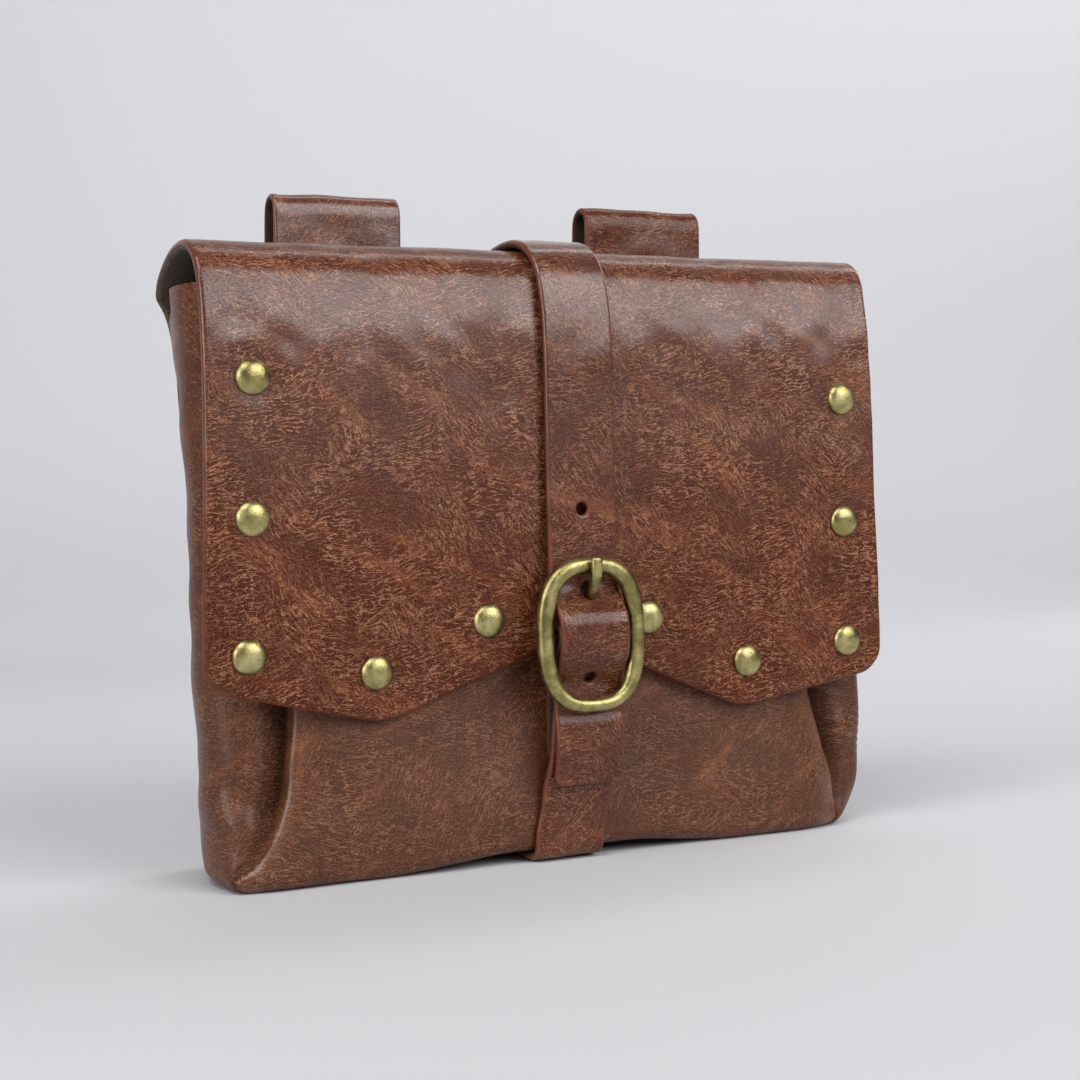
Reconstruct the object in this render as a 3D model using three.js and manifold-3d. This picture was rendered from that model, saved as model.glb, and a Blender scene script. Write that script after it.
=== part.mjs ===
// A leather belt pouch: a back panel that folds over into a pointed flap, a folded body with
// gussets, a closing strap that a centre-bar buckle holds to a lower strap, and two belt loops.
// Millimetres, +Z up. The front faces -Y and +X is to the right seen from the front.
// While it is built, Y = 0 is the outer face of the back panel and Z = 0 is the floor; the last
// lines put the origin under the middle of the whole pouch.

import * as THREE from 'three';
import { mergeVertices } from 'three/addons/utils/BufferGeometryUtils.js';
import Module from 'manifold-3d';

const wasm = await Module();
wasm.setup();

// Leather and clearances
const fitGap = 0.3; // kept between any two pieces that touch
const flapLeather = 2.4;
const bodyLeather = 1.4;
const closingLeather = 2;
const buckleLeather = 1.7;
const loopLeather = 1.6;

// Back panel and flap
const flapWidth = 180;
const crestHeight = 148;
const pouchDepth = 44.8; // back panel's outer face to the foremost part of the flap
const flapSkew = 0.032; // the closed flap hangs lower on the right, in mm per mm of X
const apexHeight = 54; // lower edge of the flap in the middle
const pointHeight = 34.5; // lower edge at its two points
const pointReach = 47.6; // from the middle to each point
const pointSoftness = 3;
const cornerHeight = 43.5; // lower edge just before the side corners
const cornerRadius = 6;

// Body
const bodyHeight = 138; // top edge of the gussets
const frontPanelTop = 127;
const seamTopDrop = 6; // the gussets' top edge falls by this towards the seam
const gussetReach = 90; // middle to the widest bulge of a gusset
const bodyDepth = 38.5; // seam on the back panel to the lower front
const rollRadius = 4; // lower edges of the body
const seamBorder = 9; // margin of the body that is sewn to the back panel
const bottomLift = 2.4; // the bottom rises here to let the strap pass under it
const floorClearance = 0.25; // below the strap where it passes under the pouch
const liftInner = 20;
const liftOuter = 45;

// Straps and buckle
const strapMiddle = 1.5; // the straps and the buckle sit this far right of the middle
const strapWidth = 18;
const strapStandOff = 0.9; // extra room behind the closing strap on the flap
const closingRootHeight = 100;
const closingRivetHeight = 107;
const closingTailHeight = 18.5;
const closingLeave = 24; // above the buckle's upper bar, where the closing strap leaves the flap
const buckleRootHeight = 30;
const buckleRivetHeight = 23;
const returnEndHeight = 24.5;
const returnRivetHeight = 28.6;
const holeSpacing = 20;
const holeRadius = 1.5;
const buckleHeight = 54.5; // middle of the buckle above the floor
const buckleTall = 36.7;
const buckleWide = 27;
const frameBar = 3.4;
const frameThickness = 3.6;
const frameDepth = 49.5; // middle of the buckle frame before the back panel's face
const frameSquareness = 3.1; // 2 is an ellipse, larger is squarer
const centreBarRadius = 1.3;
const centreBarSetBack = 2.2;
const prongWidth = 3.3;
const prongThickness = 2.2;
const prongEyeRadius = 2.6;
const prongSlotWidth = 4.6;
const prongHoleLength = 7.9;
const prongHoleHeight = 10.2; // above the middle of the buckle

// Belt loops
const loopWidth = 34.4;
const loopInner = 26.6; // middle of the pouch to the near edge of each loop
const loopTop = 165;
const loopDepth = 8.8; // back panel's face to the rear face of the loop
const loopEndHeight = 78;
const loopRivetHeights = { lower: 84, upper: 94 };

// Rivets
const capRadius = 4;
const capDome = 1.7;
const capRim = 0.4;
const postRadius = 1.5;
const backCapRadius = 3.6;
const backCapThickness = 0.7;
const flatCapRadius = 3;
const flatCapThickness = 0.7;
const rivetSides = 10;

// Side view of the back panel, arch and flap, from the back's lower edge over the crest to the
// flap's lowest point: depth as a share of pouchDepth, height of crestHeight, half of flapWidth.
const sheetRows = [
  { depth: 0, height: 0.03, half: 0.911 },
  { depth: 0, height: 0.2, half: 0.918 },
  { depth: 0, height: 0.405, half: 0.924 },
  { depth: 0, height: 0.608, half: 0.93 },
  { depth: 0, height: 0.743, half: 0.944 },
  { depth: 0, height: 0.865, half: 0.964 },
  { depth: 0, height: 0.905, half: 0.978 },
  { depth: 0.018, height: 0.93, half: 0.995 },
  { depth: 0.09, height: 0.953, half: 0.998 },
  { depth: 0.223, height: 0.976, half: 0.993 },
  { depth: 0.413, height: 0.994, half: 0.989 },
  { depth: 0.603, height: 1, half: 0.988 },
  { depth: 0.759, height: 0.994, half: 0.988 },
  { depth: 0.868, height: 0.976, half: 0.988 },
  { depth: 0.946, height: 0.951, half: 0.988 },
  { depth: 0.982, height: 0.92, half: 0.988 },
  { depth: 1, height: 0.86, half: 0.989 },
  { depth: 0.996, height: 0.757, half: 0.991 },
  { depth: 0.98, height: 0.574, half: 0.994 },
  { depth: 0.955, height: 0.419, half: 0.998 },
  { depth: 0.94, height: 0.311, half: 1 },
  { depth: 0.932, height: 0.235, half: 1 },
  { depth: 0.93, height: 0.18, half: 1 },
];

// Places of the columns of the flap, as shares of its half width
const flapColumns = [
  0, 0.07, 0.16, 0.27, 0.38, 0.47, 0.53, 0.59, 0.68, 0.79, 0.88, 0.934, 0.956, 0.974, 0.989, 1,
];

// Plan of the body at several heights, one table a side. height is a share of bodyHeight; the X
// columns are shares of gussetReach and the Y columns shares of bodyDepth, counted from the seam.
// seam is the back corner, bulge the widest point, shoulder the turn to the front, crease the
// valley where the gusset meets the front panel, and ridge the fold beside that valley.
const planColumns = [
  'height', 'seam', 'bulgeX', 'bulgeY', 'shoulderX', 'shoulderY',
  'creaseX', 'creaseY', 'ridgeX', 'ridgeY', 'front',
];
function planTable(rows) {
  return rows.map((row) => Object.fromEntries(row.map((value, i) => [planColumns[i], value])));
}
const leftPlan = planTable([
  [0, 0.9, 0.948, 0.55, 0.958, 0.8, 0.935, 0.94, 0.9, 0.985, 1],
  [0.058, 0.908, 0.96, 0.56, 0.955, 0.83, 0.895, 0.925, 0.862, 0.985, 1],
  [0.1, 0.912, 0.966, 0.58, 0.945, 0.84, 0.866, 0.913, 0.832, 0.98, 1],
  [0.16, 0.916, 0.976, 0.6, 0.93, 0.84, 0.838, 0.905, 0.803, 0.97, 0.98],
  [0.232, 0.919, 0.988, 0.64, 0.912, 0.84, 0.808, 0.89, 0.773, 0.95, 0.943],
  [0.333, 0.921, 0.998, 0.66, 0.9, 0.83, 0.785, 0.865, 0.75, 0.905, 0.913],
  [0.435, 0.923, 0.99, 0.65, 0.905, 0.825, 0.79, 0.87, 0.76, 0.9, 0.91],
  [0.652, 0.929, 0.975, 0.6, 0.935, 0.82, 0.85, 0.882, 0.81, 0.903, 0.91],
  [0.833, 0.945, 0.973, 0.55, 0.955, 0.82, 0.9, 0.888, 0.86, 0.905, 0.91],
  [1, 0.976, 0.982, 0.5, 0.972, 0.82, 0.935, 0.888, 0.895, 0.905, 0.91],
]);
const rightPlan = planTable([
  [0, 0.875, 0.9, 0.5, 0.875, 0.78, 0.81, 0.92, 0.765, 0.98, 1],
  [0.058, 0.893, 0.93, 0.52, 0.895, 0.79, 0.838, 0.9, 0.8, 0.975, 1],
  [0.1, 0.902, 0.945, 0.54, 0.908, 0.8, 0.858, 0.89, 0.82, 0.97, 1],
  [0.16, 0.91, 0.962, 0.57, 0.92, 0.81, 0.87, 0.885, 0.834, 0.962, 0.98],
  [0.232, 0.916, 0.982, 0.61, 0.925, 0.82, 0.855, 0.875, 0.82, 0.94, 0.943],
  [0.333, 0.921, 0.998, 0.66, 0.915, 0.825, 0.812, 0.865, 0.776, 0.905, 0.913],
  [0.435, 0.923, 0.99, 0.65, 0.91, 0.825, 0.8, 0.87, 0.77, 0.9, 0.91],
  [0.652, 0.929, 0.975, 0.6, 0.935, 0.82, 0.85, 0.882, 0.81, 0.903, 0.91],
  [0.833, 0.945, 0.973, 0.55, 0.955, 0.82, 0.9, 0.888, 0.86, 0.905, 0.91],
  [1, 0.976, 0.982, 0.5, 0.972, 0.82, 0.935, 0.888, 0.895, 0.905, 0.91],
]);

// Rivets of the flap: distance from the middle as a share of half the flap's width, and height
// before the skew as a share of crestHeight.
const flapRivets = [
  { place: 'top', reach: 0.864, height: 0.766 },
  { place: 'side', reach: 0.872, height: 0.554 },
  { place: 'corner', reach: 0.886, height: 0.346 },
  { place: 'point', reach: 0.551, height: 0.3155 },
  { place: 'inner', reach: 0.238, height: 0.393 },
];

const colours = { leather: 0x6e3f2d, strap: 0x6a3b2a, loop: 0x633a2c, brass: 0x9a8a4e };
const leatherFinish = (color) => new THREE.MeshStandardMaterial({ color, roughness: 0.5, metalness: 0 });
const leather = () => leatherFinish(colours.leather);
const strapFinish = () => leatherFinish(colours.strap);
const loopFinish = () => leatherFinish(colours.loop);
const brass = () => new THREE.MeshStandardMaterial({ color: colours.brass, roughness: 0.35, metalness: 1 });

const pouch = new THREE.Group();
function addPiece(name, geometry, material) {
  const mesh = new THREE.Mesh(geometry, material);
  mesh.name = name;
  pouch.add(mesh);
}

// Solids and booleans

// Only shared positions are kept, and triangles that have shrunk to a line are dropped.
function weld(geometry) {
  const bare = geometry.clone();
  bare.deleteAttribute('normal');
  bare.deleteAttribute('uv');
  const merged = mergeVertices(bare, 1e-4);
  const old = merged.index.array;
  const kept = [];
  for (let i = 0; i < old.length; i += 3) {
    const [a, b, c] = [old[i], old[i + 1], old[i + 2]];
    if (a !== b && b !== c && c !== a) kept.push(a, b, c);
  }
  merged.setIndex(kept);
  return merged;
}

function solidOf(geometry) {
  const shape = weld(geometry);
  const vertProperties = new Float32Array(shape.attributes.position.array);
  const triVerts = new Uint32Array(shape.index.array);
  return new wasm.Manifold(new wasm.Mesh({ numProp: 3, vertProperties, triVerts }));
}

function geometryOf(solid) {
  const mesh = solid.getMesh();
  const geometry = new THREE.BufferGeometry();
  geometry.setAttribute('position', new THREE.BufferAttribute(mesh.vertProperties, 3));
  geometry.setIndex(new THREE.BufferAttribute(mesh.triVerts, 1));
  geometry.computeVertexNormals();
  return geometry;
}

// A closed geometry from points and triangles, with its faces turned outwards.
function closedGeometry(points, triangles) {
  let volume = 0;
  const cross = new THREE.Vector3();
  for (const [a, b, c] of triangles) {
    volume += points[a].dot(cross.crossVectors(points[b], points[c]));
  }
  const index = triangles.flatMap(([a, b, c]) => (volume > 0 ? [a, b, c] : [a, c, b]));
  const geometry = new THREE.BufferGeometry().setFromPoints(points);
  geometry.setIndex(index);
  geometry.computeVertexNormals();
  return geometry;
}

function quad(a, b, c, d) {
  return [
    [a, b, c],
    [a, c, d],
  ];
}

// A sheet with thickness: two grids of rows and columns, joined round their border.
function slab(rows, columns, outerAt, innerAt) {
  const points = [];
  for (const pointAt of [outerAt, innerAt]) {
    for (let r = 0; r < rows; r++) {
      for (let c = 0; c < columns; c++) points.push(pointAt(r, c));
    }
  }
  const outer = (r, c) => r * columns + c;
  const inner = (r, c) => rows * columns + outer(r, c);
  const triangles = [];
  for (let r = 0; r + 1 < rows; r++) {
    for (let c = 0; c + 1 < columns; c++) {
      triangles.push(...quad(outer(r, c), outer(r, c + 1), outer(r + 1, c + 1), outer(r + 1, c)));
      triangles.push(...quad(inner(r, c), inner(r + 1, c), inner(r + 1, c + 1), inner(r, c + 1)));
    }
    const last = columns - 1;
    triangles.push(...quad(outer(r, 0), outer(r + 1, 0), inner(r + 1, 0), inner(r, 0)));
    triangles.push(...quad(outer(r, last), inner(r, last), inner(r + 1, last), outer(r + 1, last)));
  }
  for (let c = 0; c + 1 < columns; c++) {
    const last = rows - 1;
    triangles.push(...quad(outer(0, c), inner(0, c), inner(0, c + 1), outer(0, c + 1)));
    triangles.push(...quad(outer(last, c), outer(last, c + 1), inner(last, c + 1), inner(last, c)));
  }
  return closedGeometry(points, triangles);
}

// Side views: smooth lines in the YZ plane

function sideLine(points) {
  const places = points.map(([y, z]) => new THREE.Vector3(0, y, z));
  const line = new THREE.CatmullRomCurve3(places, false, 'centripetal');
  line.arcLengthDivisions = 600;
  return line;
}

// Point and outward direction on a side line that runs up the back and down the front.
function placeOn(line, share) {
  const point = line.getPointAt(share);
  const along = line.getTangentAt(share);
  return { point, out: new THREE.Vector3(0, along.z, -along.y) };
}

// Share of the line's length at which it passes a height, between two shares.
function shareAtHeight(line, height, from, to) {
  const rising = line.getPointAt(to).z > line.getPointAt(from).z;
  let [low, high] = [from, to];
  for (let i = 0; i < 40; i++) {
    const middle = (low + high) / 2;
    if (line.getPointAt(middle).z < height === rising) low = middle;
    else high = middle;
  }
  return (low + high) / 2;
}

// Shares of a line at which a strip gets a row: wherever it has turned or run on far enough.
function rowShares(line, from, to, turnLimit, stepLimit) {
  const steps = 400;
  const length = line.getLength();
  const shares = [from];
  let lastShare = from;
  let lastAlong = line.getTangentAt(from);
  for (let i = 1; i < steps; i++) {
    const share = THREE.MathUtils.lerp(from, to, i / steps);
    const along = line.getTangentAt(share);
    if (along.angleTo(lastAlong) > turnLimit || (share - lastShare) * length > stepLimit) {
      shares.push(share);
      lastShare = share;
      lastAlong = along;
    }
  }
  if ((to - lastShare) * length < stepLimit * 0.1) shares.pop();
  shares.push(to);
  return shares;
}

// A flat strip of even width bent along a side line that runs through the middle of the leather.
function strip(line, middleX, width, thickness) {
  const turnLimit = 0.22;
  const stepLimit = 30;
  const places = rowShares(line, 0, 1, turnLimit, stepLimit).map((share) => placeOn(line, share));
  const pointAt = (side) => (r, c) => {
    const { point, out } = places[r];
    const edge = new THREE.Vector3(middleX + (c - 0.5) * width, 0, 0);
    return point.clone().addScaledVector(out, (side * thickness) / 2).add(edge);
  };
  return slab(places.length, 2, pointAt(1), pointAt(-1));
}

// Values of a table between its rows, each column smoothed on its own.
function tableReader(rows, key) {
  const columns = Object.keys(rows[0]).filter((name) => name !== key);
  const positions = rows.map((row) => row[key]);
  const values = rows.flatMap((row) => columns.map((name) => row[name]));
  const smooth = new THREE.CubicInterpolant(positions, values, columns.length);
  return (position) => {
    const result = smooth.evaluate(position);
    return Object.fromEntries(columns.map((name, i) => [name, result[i]]));
  };
}

// Back panel and flap

const flapHalf = flapWidth / 2;
const sheetLine = sideLine(sheetRows.map(({ depth, height }) => [-depth * pouchDepth, height * crestHeight]));
const heightOnSheet = (share) => sheetLine.getPointAt(share).z;
const crestShare = (() => {
  const steps = 400;
  const samples = Array.from({ length: steps + 1 }, (_, i) => i / steps);
  return samples.reduce((best, share) => (heightOnSheet(share) > heightOnSheet(best) ? share : best));
})();
const frontShareAt = (height) => shareAtHeight(sheetLine, height, crestShare, 1);
const backShareAt = (height) => shareAtHeight(sheetLine, height, 0, crestShare);

// Half width of the sheet at a share of its length, from the same rows as the line.
const halfWidthAt = (() => {
  const lengths = sheetLine.getLengths(sheetLine.arcLengthDivisions);
  const total = lengths[lengths.length - 1];
  const perRow = sheetLine.arcLengthDivisions / (sheetRows.length - 1);
  const rows = sheetRows.map(({ half }, i) => ({ share: lengths[Math.round(i * perRow)] / total, half }));
  const read = tableReader(rows, 'share');
  return (share) => read(share).half * flapHalf;
})();

// Lower edge of the flap before its skew: down from the middle to a point, up to the side, with
// the point softened and the corner a quarter round.
function flapEdgeHeight(reach) {
  const inward = (pointHeight - apexHeight) / pointReach;
  const outward = (cornerHeight - pointHeight) / (flapHalf - pointReach);
  const from = reach - pointReach;
  const soft = Math.sqrt(from * from + pointSoftness * pointSoftness);
  const straight = pointHeight + ((inward + outward) / 2) * from + ((outward - inward) / 2) * soft;
  const past = Math.max(0, reach - (flapHalf - cornerRadius));
  return straight + cornerRadius - Math.sqrt(Math.max(0, cornerRadius * cornerRadius - past * past));
}

function backAndFlap() {
  const sides = flapColumns.slice(1).map((share) => -share).reverse().concat(flapColumns);
  const turnLimit = 0.2;
  const stepLimit = 40;
  const common = rowShares(sheetLine, 0, frontShareAt(crestHeight * 0.8), turnLimit, stepLimit);
  const lastCommon = common[common.length - 1];
  const flapRows = 7;
  const shareAt = (row, side) => {
    if (row < common.length) return common[row];
    const x = side * flapHalf;
    const end = frontShareAt(flapEdgeHeight(Math.abs(x)) - flapSkew * x);
    return THREE.MathUtils.lerp(lastCommon, end, (row - common.length + 1) / flapRows);
  };
  const pointAt = (inward) => (r, c) => {
    const share = shareAt(r, sides[c]);
    const { point, out } = placeOn(sheetLine, share);
    point.x = sides[c] * halfWidthAt(share);
    return point.addScaledVector(out, -inward);
  };
  return slab(common.length + flapRows, sides.length, pointAt(0), pointAt(flapLeather));
}

// Body

const seamDepth = flapLeather + fitGap;
const readLeft = tableReader(leftPlan, 'height');
const readRight = tableReader(rightPlan, 'height');
const coreHalf = 0.8 * gussetReach;
const coreNear = 0.2 * bodyDepth;
const coreFar = 0.72 * bodyDepth;

// Plan of one level: the points from the left seam round the front to the right seam, and as many
// on the seam line. Y counts forward from the seam here.
function planAt(share) {
  const side = (sign, plan) => [
    [sign * plan.seam, 0],
    [sign * plan.bulgeX, plan.bulgeY],
    [sign * plan.shoulderX, plan.shoulderY],
    [sign * plan.creaseX, plan.creaseY],
    [sign * plan.ridgeX, plan.ridgeY],
    [sign * plan.ridgeX * 0.6, plan.front],
  ];
  const left = readLeft(share);
  const right = readRight(share);
  const corners = [...side(-1, left), [0, (left.front + right.front) / 2], ...side(1, right).reverse()];
  const points = corners.map(([x, y]) => new THREE.Vector3(x * gussetReach, y * bodyDepth, 0));
  const round = new THREE.CatmullRomCurve3(points, false, 'centripetal');
  const perSpan = 3;
  const steps = (points.length - 1) * perSpan;
  const front = Array.from({ length: steps + 1 }, (_, i) => round.getPoint(i / steps));
  const tuck = 0.03;
  const seam = front.map((_, i) => {
    const along = THREE.MathUtils.lerp(tuck, 1 - tuck, i / steps);
    return new THREE.Vector3().lerpVectors(points[0], points[points.length - 1], along);
  });
  return { front, seam };
}

// Moves a plan point a distance towards a plain box in the middle of the body.
function towardCore(point, distance) {
  const coreX = THREE.MathUtils.clamp(point.x, -coreHalf, coreHalf);
  const coreY = THREE.MathUtils.clamp(point.y, coreNear, coreFar);
  const inward = new THREE.Vector3(coreX - point.x, coreY - point.y, 0).normalize();
  return point.clone().addScaledVector(inward, distance);
}

// How far a rolled lower edge has drawn in at a height.
function rollInset(height, radius) {
  const below = Math.max(0, radius - height);
  return radius - Math.sqrt(Math.max(0, radius * radius - below * below));
}

function liftAt(x) {
  return bottomLift * (1 - THREE.MathUtils.smoothstep(Math.abs(x), liftInner, liftOuter));
}

// The top edge is high on the gussets, a little lower at the seam and lower on the front panel.
function topAt(point) {
  const towardSeam = 1 - THREE.MathUtils.smoothstep(point.y, 0, bodyDepth * 0.35);
  const towardFront = THREE.MathUtils.smoothstep(point.y, bodyDepth * 0.8, bodyDepth * 0.9);
  const reach = Math.abs(point.x);
  const awayFromSide = 1 - THREE.MathUtils.smoothstep(reach, gussetReach * 0.8, gussetReach * 0.95);
  const gussetTop = bodyHeight - seamTopDrop * towardSeam;
  return THREE.MathUtils.lerp(gussetTop, frontPanelTop, towardFront * awayFromSide);
}

// One closed skin of the body, drawn in by a wall and stretched above the top where asked.
function bodySkin(wall, above, heights) {
  const radius = rollRadius - wall;
  const rings = heights.map((height) => {
    const { front, seam } = planAt(Math.min(1, height / bodyHeight));
    const ring = (points) =>
      points.map((point) => {
        const lift = liftAt(point.x);
        const drawn = towardCore(point, wall + rollInset(height, radius));
        const top = topAt(point) + above - wall - lift;
        const risen = (height / (bodyHeight - wall)) * top;
        return new THREE.Vector3(drawn.x, -seamDepth - drawn.y, wall + lift + risen);
      });
    return { front: ring(front), seam: ring(seam) };
  });
  const across = rings[0].front.length;
  const around = across * 2;
  const points = rings.flatMap(({ front, seam }) => [...front, ...seam.slice().reverse()]);
  const at = (row, i) => row * around + (i % around);
  const triangles = [];
  for (let row = 0; row + 1 < rings.length; row++) {
    for (let i = 0; i < around; i++) {
      triangles.push(...quad(at(row, i), at(row, i + 1), at(row + 1, i + 1), at(row + 1, i)));
    }
  }
  const last = rings.length - 1;
  const opposite = (i) => around - 1 - i;
  for (let i = 0; i + 1 < across; i++) {
    triangles.push(...quad(at(0, i), at(0, opposite(i)), at(0, opposite(i + 1)), at(0, i + 1)));
    triangles.push(...quad(at(last, i), at(last, i + 1), at(last, opposite(i + 1)), at(last, opposite(i))));
  }
  return solidOf(closedGeometry(points, triangles));
}

function pouchBody() {
  const upper = [0.06, 0.1, 0.16, 0.232, 0.333, 0.435, 0.652, 0.833, 1].map((share) => share * bodyHeight);
  const outerHeights = [0, 0.12, 0.4, 1].map((share) => share * rollRadius).concat(upper);
  const innerRoll = rollRadius - bodyLeather;
  const innerHeights = [0, 0.25, 1].map((share) => share * innerRoll);
  innerHeights.push(...upper.map((height) => height - bodyLeather));
  const overTop = 12;
  const outer = bodySkin(0, 0, outerHeights);
  const inner = bodySkin(bodyLeather, overTop, innerHeights);
  const windowHalf = leftPlan[0].seam * gussetReach - seamBorder;
  const windowHeight = bodyHeight + overTop;
  const window = new THREE.BoxGeometry(windowHalf * 2, bodyLeather * 4, windowHeight);
  window.translate(0, -seamDepth, seamBorder + windowHeight / 2);
  return geometryOf(outer.subtract(inner).subtract(solidOf(window)));
}

// Straps

const stripOffset = (thickness) => fitGap + thickness / 2;

// Depths at the buckle, counted forward from the back panel's face
const frameBack = frameDepth - frameThickness / 2;
const frameFront = frameDepth + frameThickness / 2;
const barDepth = frameDepth - centreBarSetBack;
const turnRadius = centreBarRadius + stripOffset(buckleLeather);
const turnFront = barDepth + turnRadius + buckleLeather / 2;
const closingUnderBar = frameBack - stripOffset(closingLeather);
const closingOverBar = turnFront + stripOffset(closingLeather);
const mainUnderBar = closingUnderBar - closingLeather / 2 - stripOffset(buckleLeather);
const returnUnderBar = mainUnderBar - buckleLeather - fitGap;
const returnRivetFront = mainUnderBar + buckleLeather / 2 + fitGap + flatCapThickness;
const tailOverRivet = returnRivetFront + stripOffset(closingLeather);
const frameReach = (buckleTall - frameBar) / 2; // middle of the buckle to the middle of an end bar

function closingLine() {
  const points = [];
  const start = backShareAt(closingRootHeight);
  const end = frontShareAt(buckleHeight + frameReach + closingLeave);
  const steps = 30;
  for (let i = 0; i <= steps; i++) {
    const share = THREE.MathUtils.lerp(start, end, i / steps);
    const { point, out } = placeOn(sheetLine, share);
    const onFlap = THREE.MathUtils.smoothstep(share, crestShare, frontShareAt(crestHeight * 0.85));
    point.addScaledVector(out, stripOffset(closingLeather) + strapStandOff * onFlap);
    points.push([point.y, point.z]);
  }
  const shape = [
    { up: 1.3, rise: 0 },
    { up: 0.9, rise: 0 },
    { up: 0.66, rise: 0.05 },
    { up: 0.45, rise: 0.47 },
    { up: 0.25, rise: 0.92 },
    { up: 0, rise: 1 },
    { up: -0.25, rise: 0.88 },
    { up: -0.46, rise: 0.42 },
    { up: -0.68, rise: 0.03 },
    { up: -0.9, rise: 0 },
    { up: -1.12, rise: 0 },
  ];
  for (const { up, rise } of shape) {
    const depth = THREE.MathUtils.lerp(closingUnderBar, closingOverBar, rise);
    points.push([-depth, buckleHeight + up * frameReach]);
  }
  points.push([-tailOverRivet, returnRivetHeight + flatCapRadius * 1.3]);
  points.push([-tailOverRivet, returnRivetHeight - flatCapRadius * 1.1]);
  points.push([-(tailOverRivet + mainUnderBar) / 2, closingTailHeight]);
  return sideLine(points);
}

function buckleLine() {
  const onPanel = stripOffset(buckleLeather);
  const onFloor = buckleLeather / 2 + floorClearance;
  const lowerFront = seamDepth + bodyDepth;
  const onFront = lowerFront + stripOffset(buckleLeather);
  const points = [
    [onPanel, buckleRootHeight],
    [onPanel, buckleRootHeight / 2],
    [onPanel, rollRadius * 1.25],
    [onPanel * 0.4, rollRadius * 0.52],
    [-rollRadius * 0.4, onFloor * 1.4],
    [-rollRadius * 1.2, onFloor],
    [-lowerFront / 2, onFloor],
    [-lowerFront + rollRadius * 1.2, onFloor],
    [-lowerFront - rollRadius * 0.08, rollRadius * 0.52],
    [-onFront, rollRadius * 1.5],
    [-onFront, returnEndHeight * 0.55],
    [-THREE.MathUtils.lerp(onFront, mainUnderBar, 0.3), returnEndHeight * 0.77],
    [-mainUnderBar, returnEndHeight],
    [-mainUnderBar, returnRivetHeight],
    [-mainUnderBar, buckleHeight - frameReach * 0.92],
    [-mainUnderBar, buckleHeight - frameReach * 0.7],
    [-THREE.MathUtils.lerp(mainUnderBar, barDepth + turnRadius, 0.1), buckleHeight - frameReach * 0.5],
    [-THREE.MathUtils.lerp(mainUnderBar, barDepth + turnRadius, 0.46), buckleHeight - frameReach * 0.3],
  ];
  const turnSteps = 6;
  for (let i = 0; i <= turnSteps; i++) {
    const angle = THREE.MathUtils.lerp(-0.1, 1.05, i / turnSteps) * Math.PI;
    points.push([-barDepth - turnRadius * Math.cos(angle), buckleHeight + turnRadius * Math.sin(angle)]);
  }
  const bendDepth = THREE.MathUtils.lerp(returnUnderBar, barDepth - turnRadius, 0.4);
  points.push([-bendDepth, buckleHeight - frameReach * 0.5]);
  points.push([-returnUnderBar, buckleHeight - frameReach]);
  points.push([-returnUnderBar, returnRivetHeight]);
  points.push([-returnUnderBar, returnEndHeight]);
  return sideLine(points);
}

// A round cutter or post of a radius, laid along a direction.
function peg(radius, length, place, direction, sides) {
  const geometry = new THREE.CylinderGeometry(radius, radius, length, sides);
  const turn = new THREE.Quaternion().setFromUnitVectors(new THREE.Vector3(0, 1, 0), direction);
  geometry.applyQuaternion(turn);
  geometry.translate(place.x, place.y, place.z);
  return solidOf(geometry);
}

function holeCutter(place, x, radius, thickness) {
  const at = place.point.clone();
  at.x = x;
  return peg(radius, thickness * 3, at, place.out, 10);
}

const closing = closingLine();
const closingFrontShare = (height) => shareAtHeight(closing, height, 0.4, 1);
const closingRoot = placeOn(closing, shareAtHeight(closing, closingRivetHeight, 0, 0.15));
const prongHole = placeOn(closing, closingFrontShare(buckleHeight + prongHoleHeight));
const buckleStrapLine = buckleLine();
const buckleRoot = placeOn(buckleStrapLine, shareAtHeight(buckleStrapLine, buckleRivetHeight, 0, 0.1));
const returnMain = {
  point: new THREE.Vector3(0, -mainUnderBar, returnRivetHeight),
  out: new THREE.Vector3(0, -1, 0),
};
const returnBack = { point: new THREE.Vector3(0, -returnUnderBar, returnRivetHeight), out: returnMain.out };

function closingStrap() {
  let solid = solidOf(strip(closing, strapMiddle, strapWidth, closingLeather));
  solid = solid.subtract(holeCutter(closingRoot, strapMiddle, postRadius + fitGap, closingLeather));
  for (const step of [-1, 1]) {
    const height = buckleHeight + prongHoleHeight + step * holeSpacing;
    const place = placeOn(closing, closingFrontShare(height));
    solid = solid.subtract(holeCutter(place, strapMiddle, holeRadius, closingLeather));
  }
  const slot = new THREE.BoxGeometry(prongWidth + fitGap * 3, closingLeather * 4, prongHoleLength);
  const tilt = Math.atan2(prongHole.out.z, -prongHole.out.y);
  slot.rotateX(-tilt);
  slot.translate(strapMiddle, prongHole.point.y, prongHole.point.z);
  return geometryOf(solid.subtract(solidOf(slot)));
}

function buckleStrap() {
  let solid = solidOf(strip(buckleStrapLine, strapMiddle, strapWidth, buckleLeather));
  solid = solid.subtract(holeCutter(buckleRoot, strapMiddle, postRadius + fitGap, buckleLeather));
  solid = solid.subtract(holeCutter(returnMain, strapMiddle, postRadius + fitGap, buckleLeather * 2));
  const slotBottom = buckleHeight - turnRadius * 2.2;
  const slotTop = buckleHeight + turnRadius * 2;
  const slotDepth = turnRadius * 4;
  const slot = new THREE.BoxGeometry(prongSlotWidth, slotDepth, slotTop - slotBottom);
  slot.translate(strapMiddle, -barDepth, (slotBottom + slotTop) / 2);
  return geometryOf(solid.subtract(solidOf(slot)));
}

// Buckle

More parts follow.
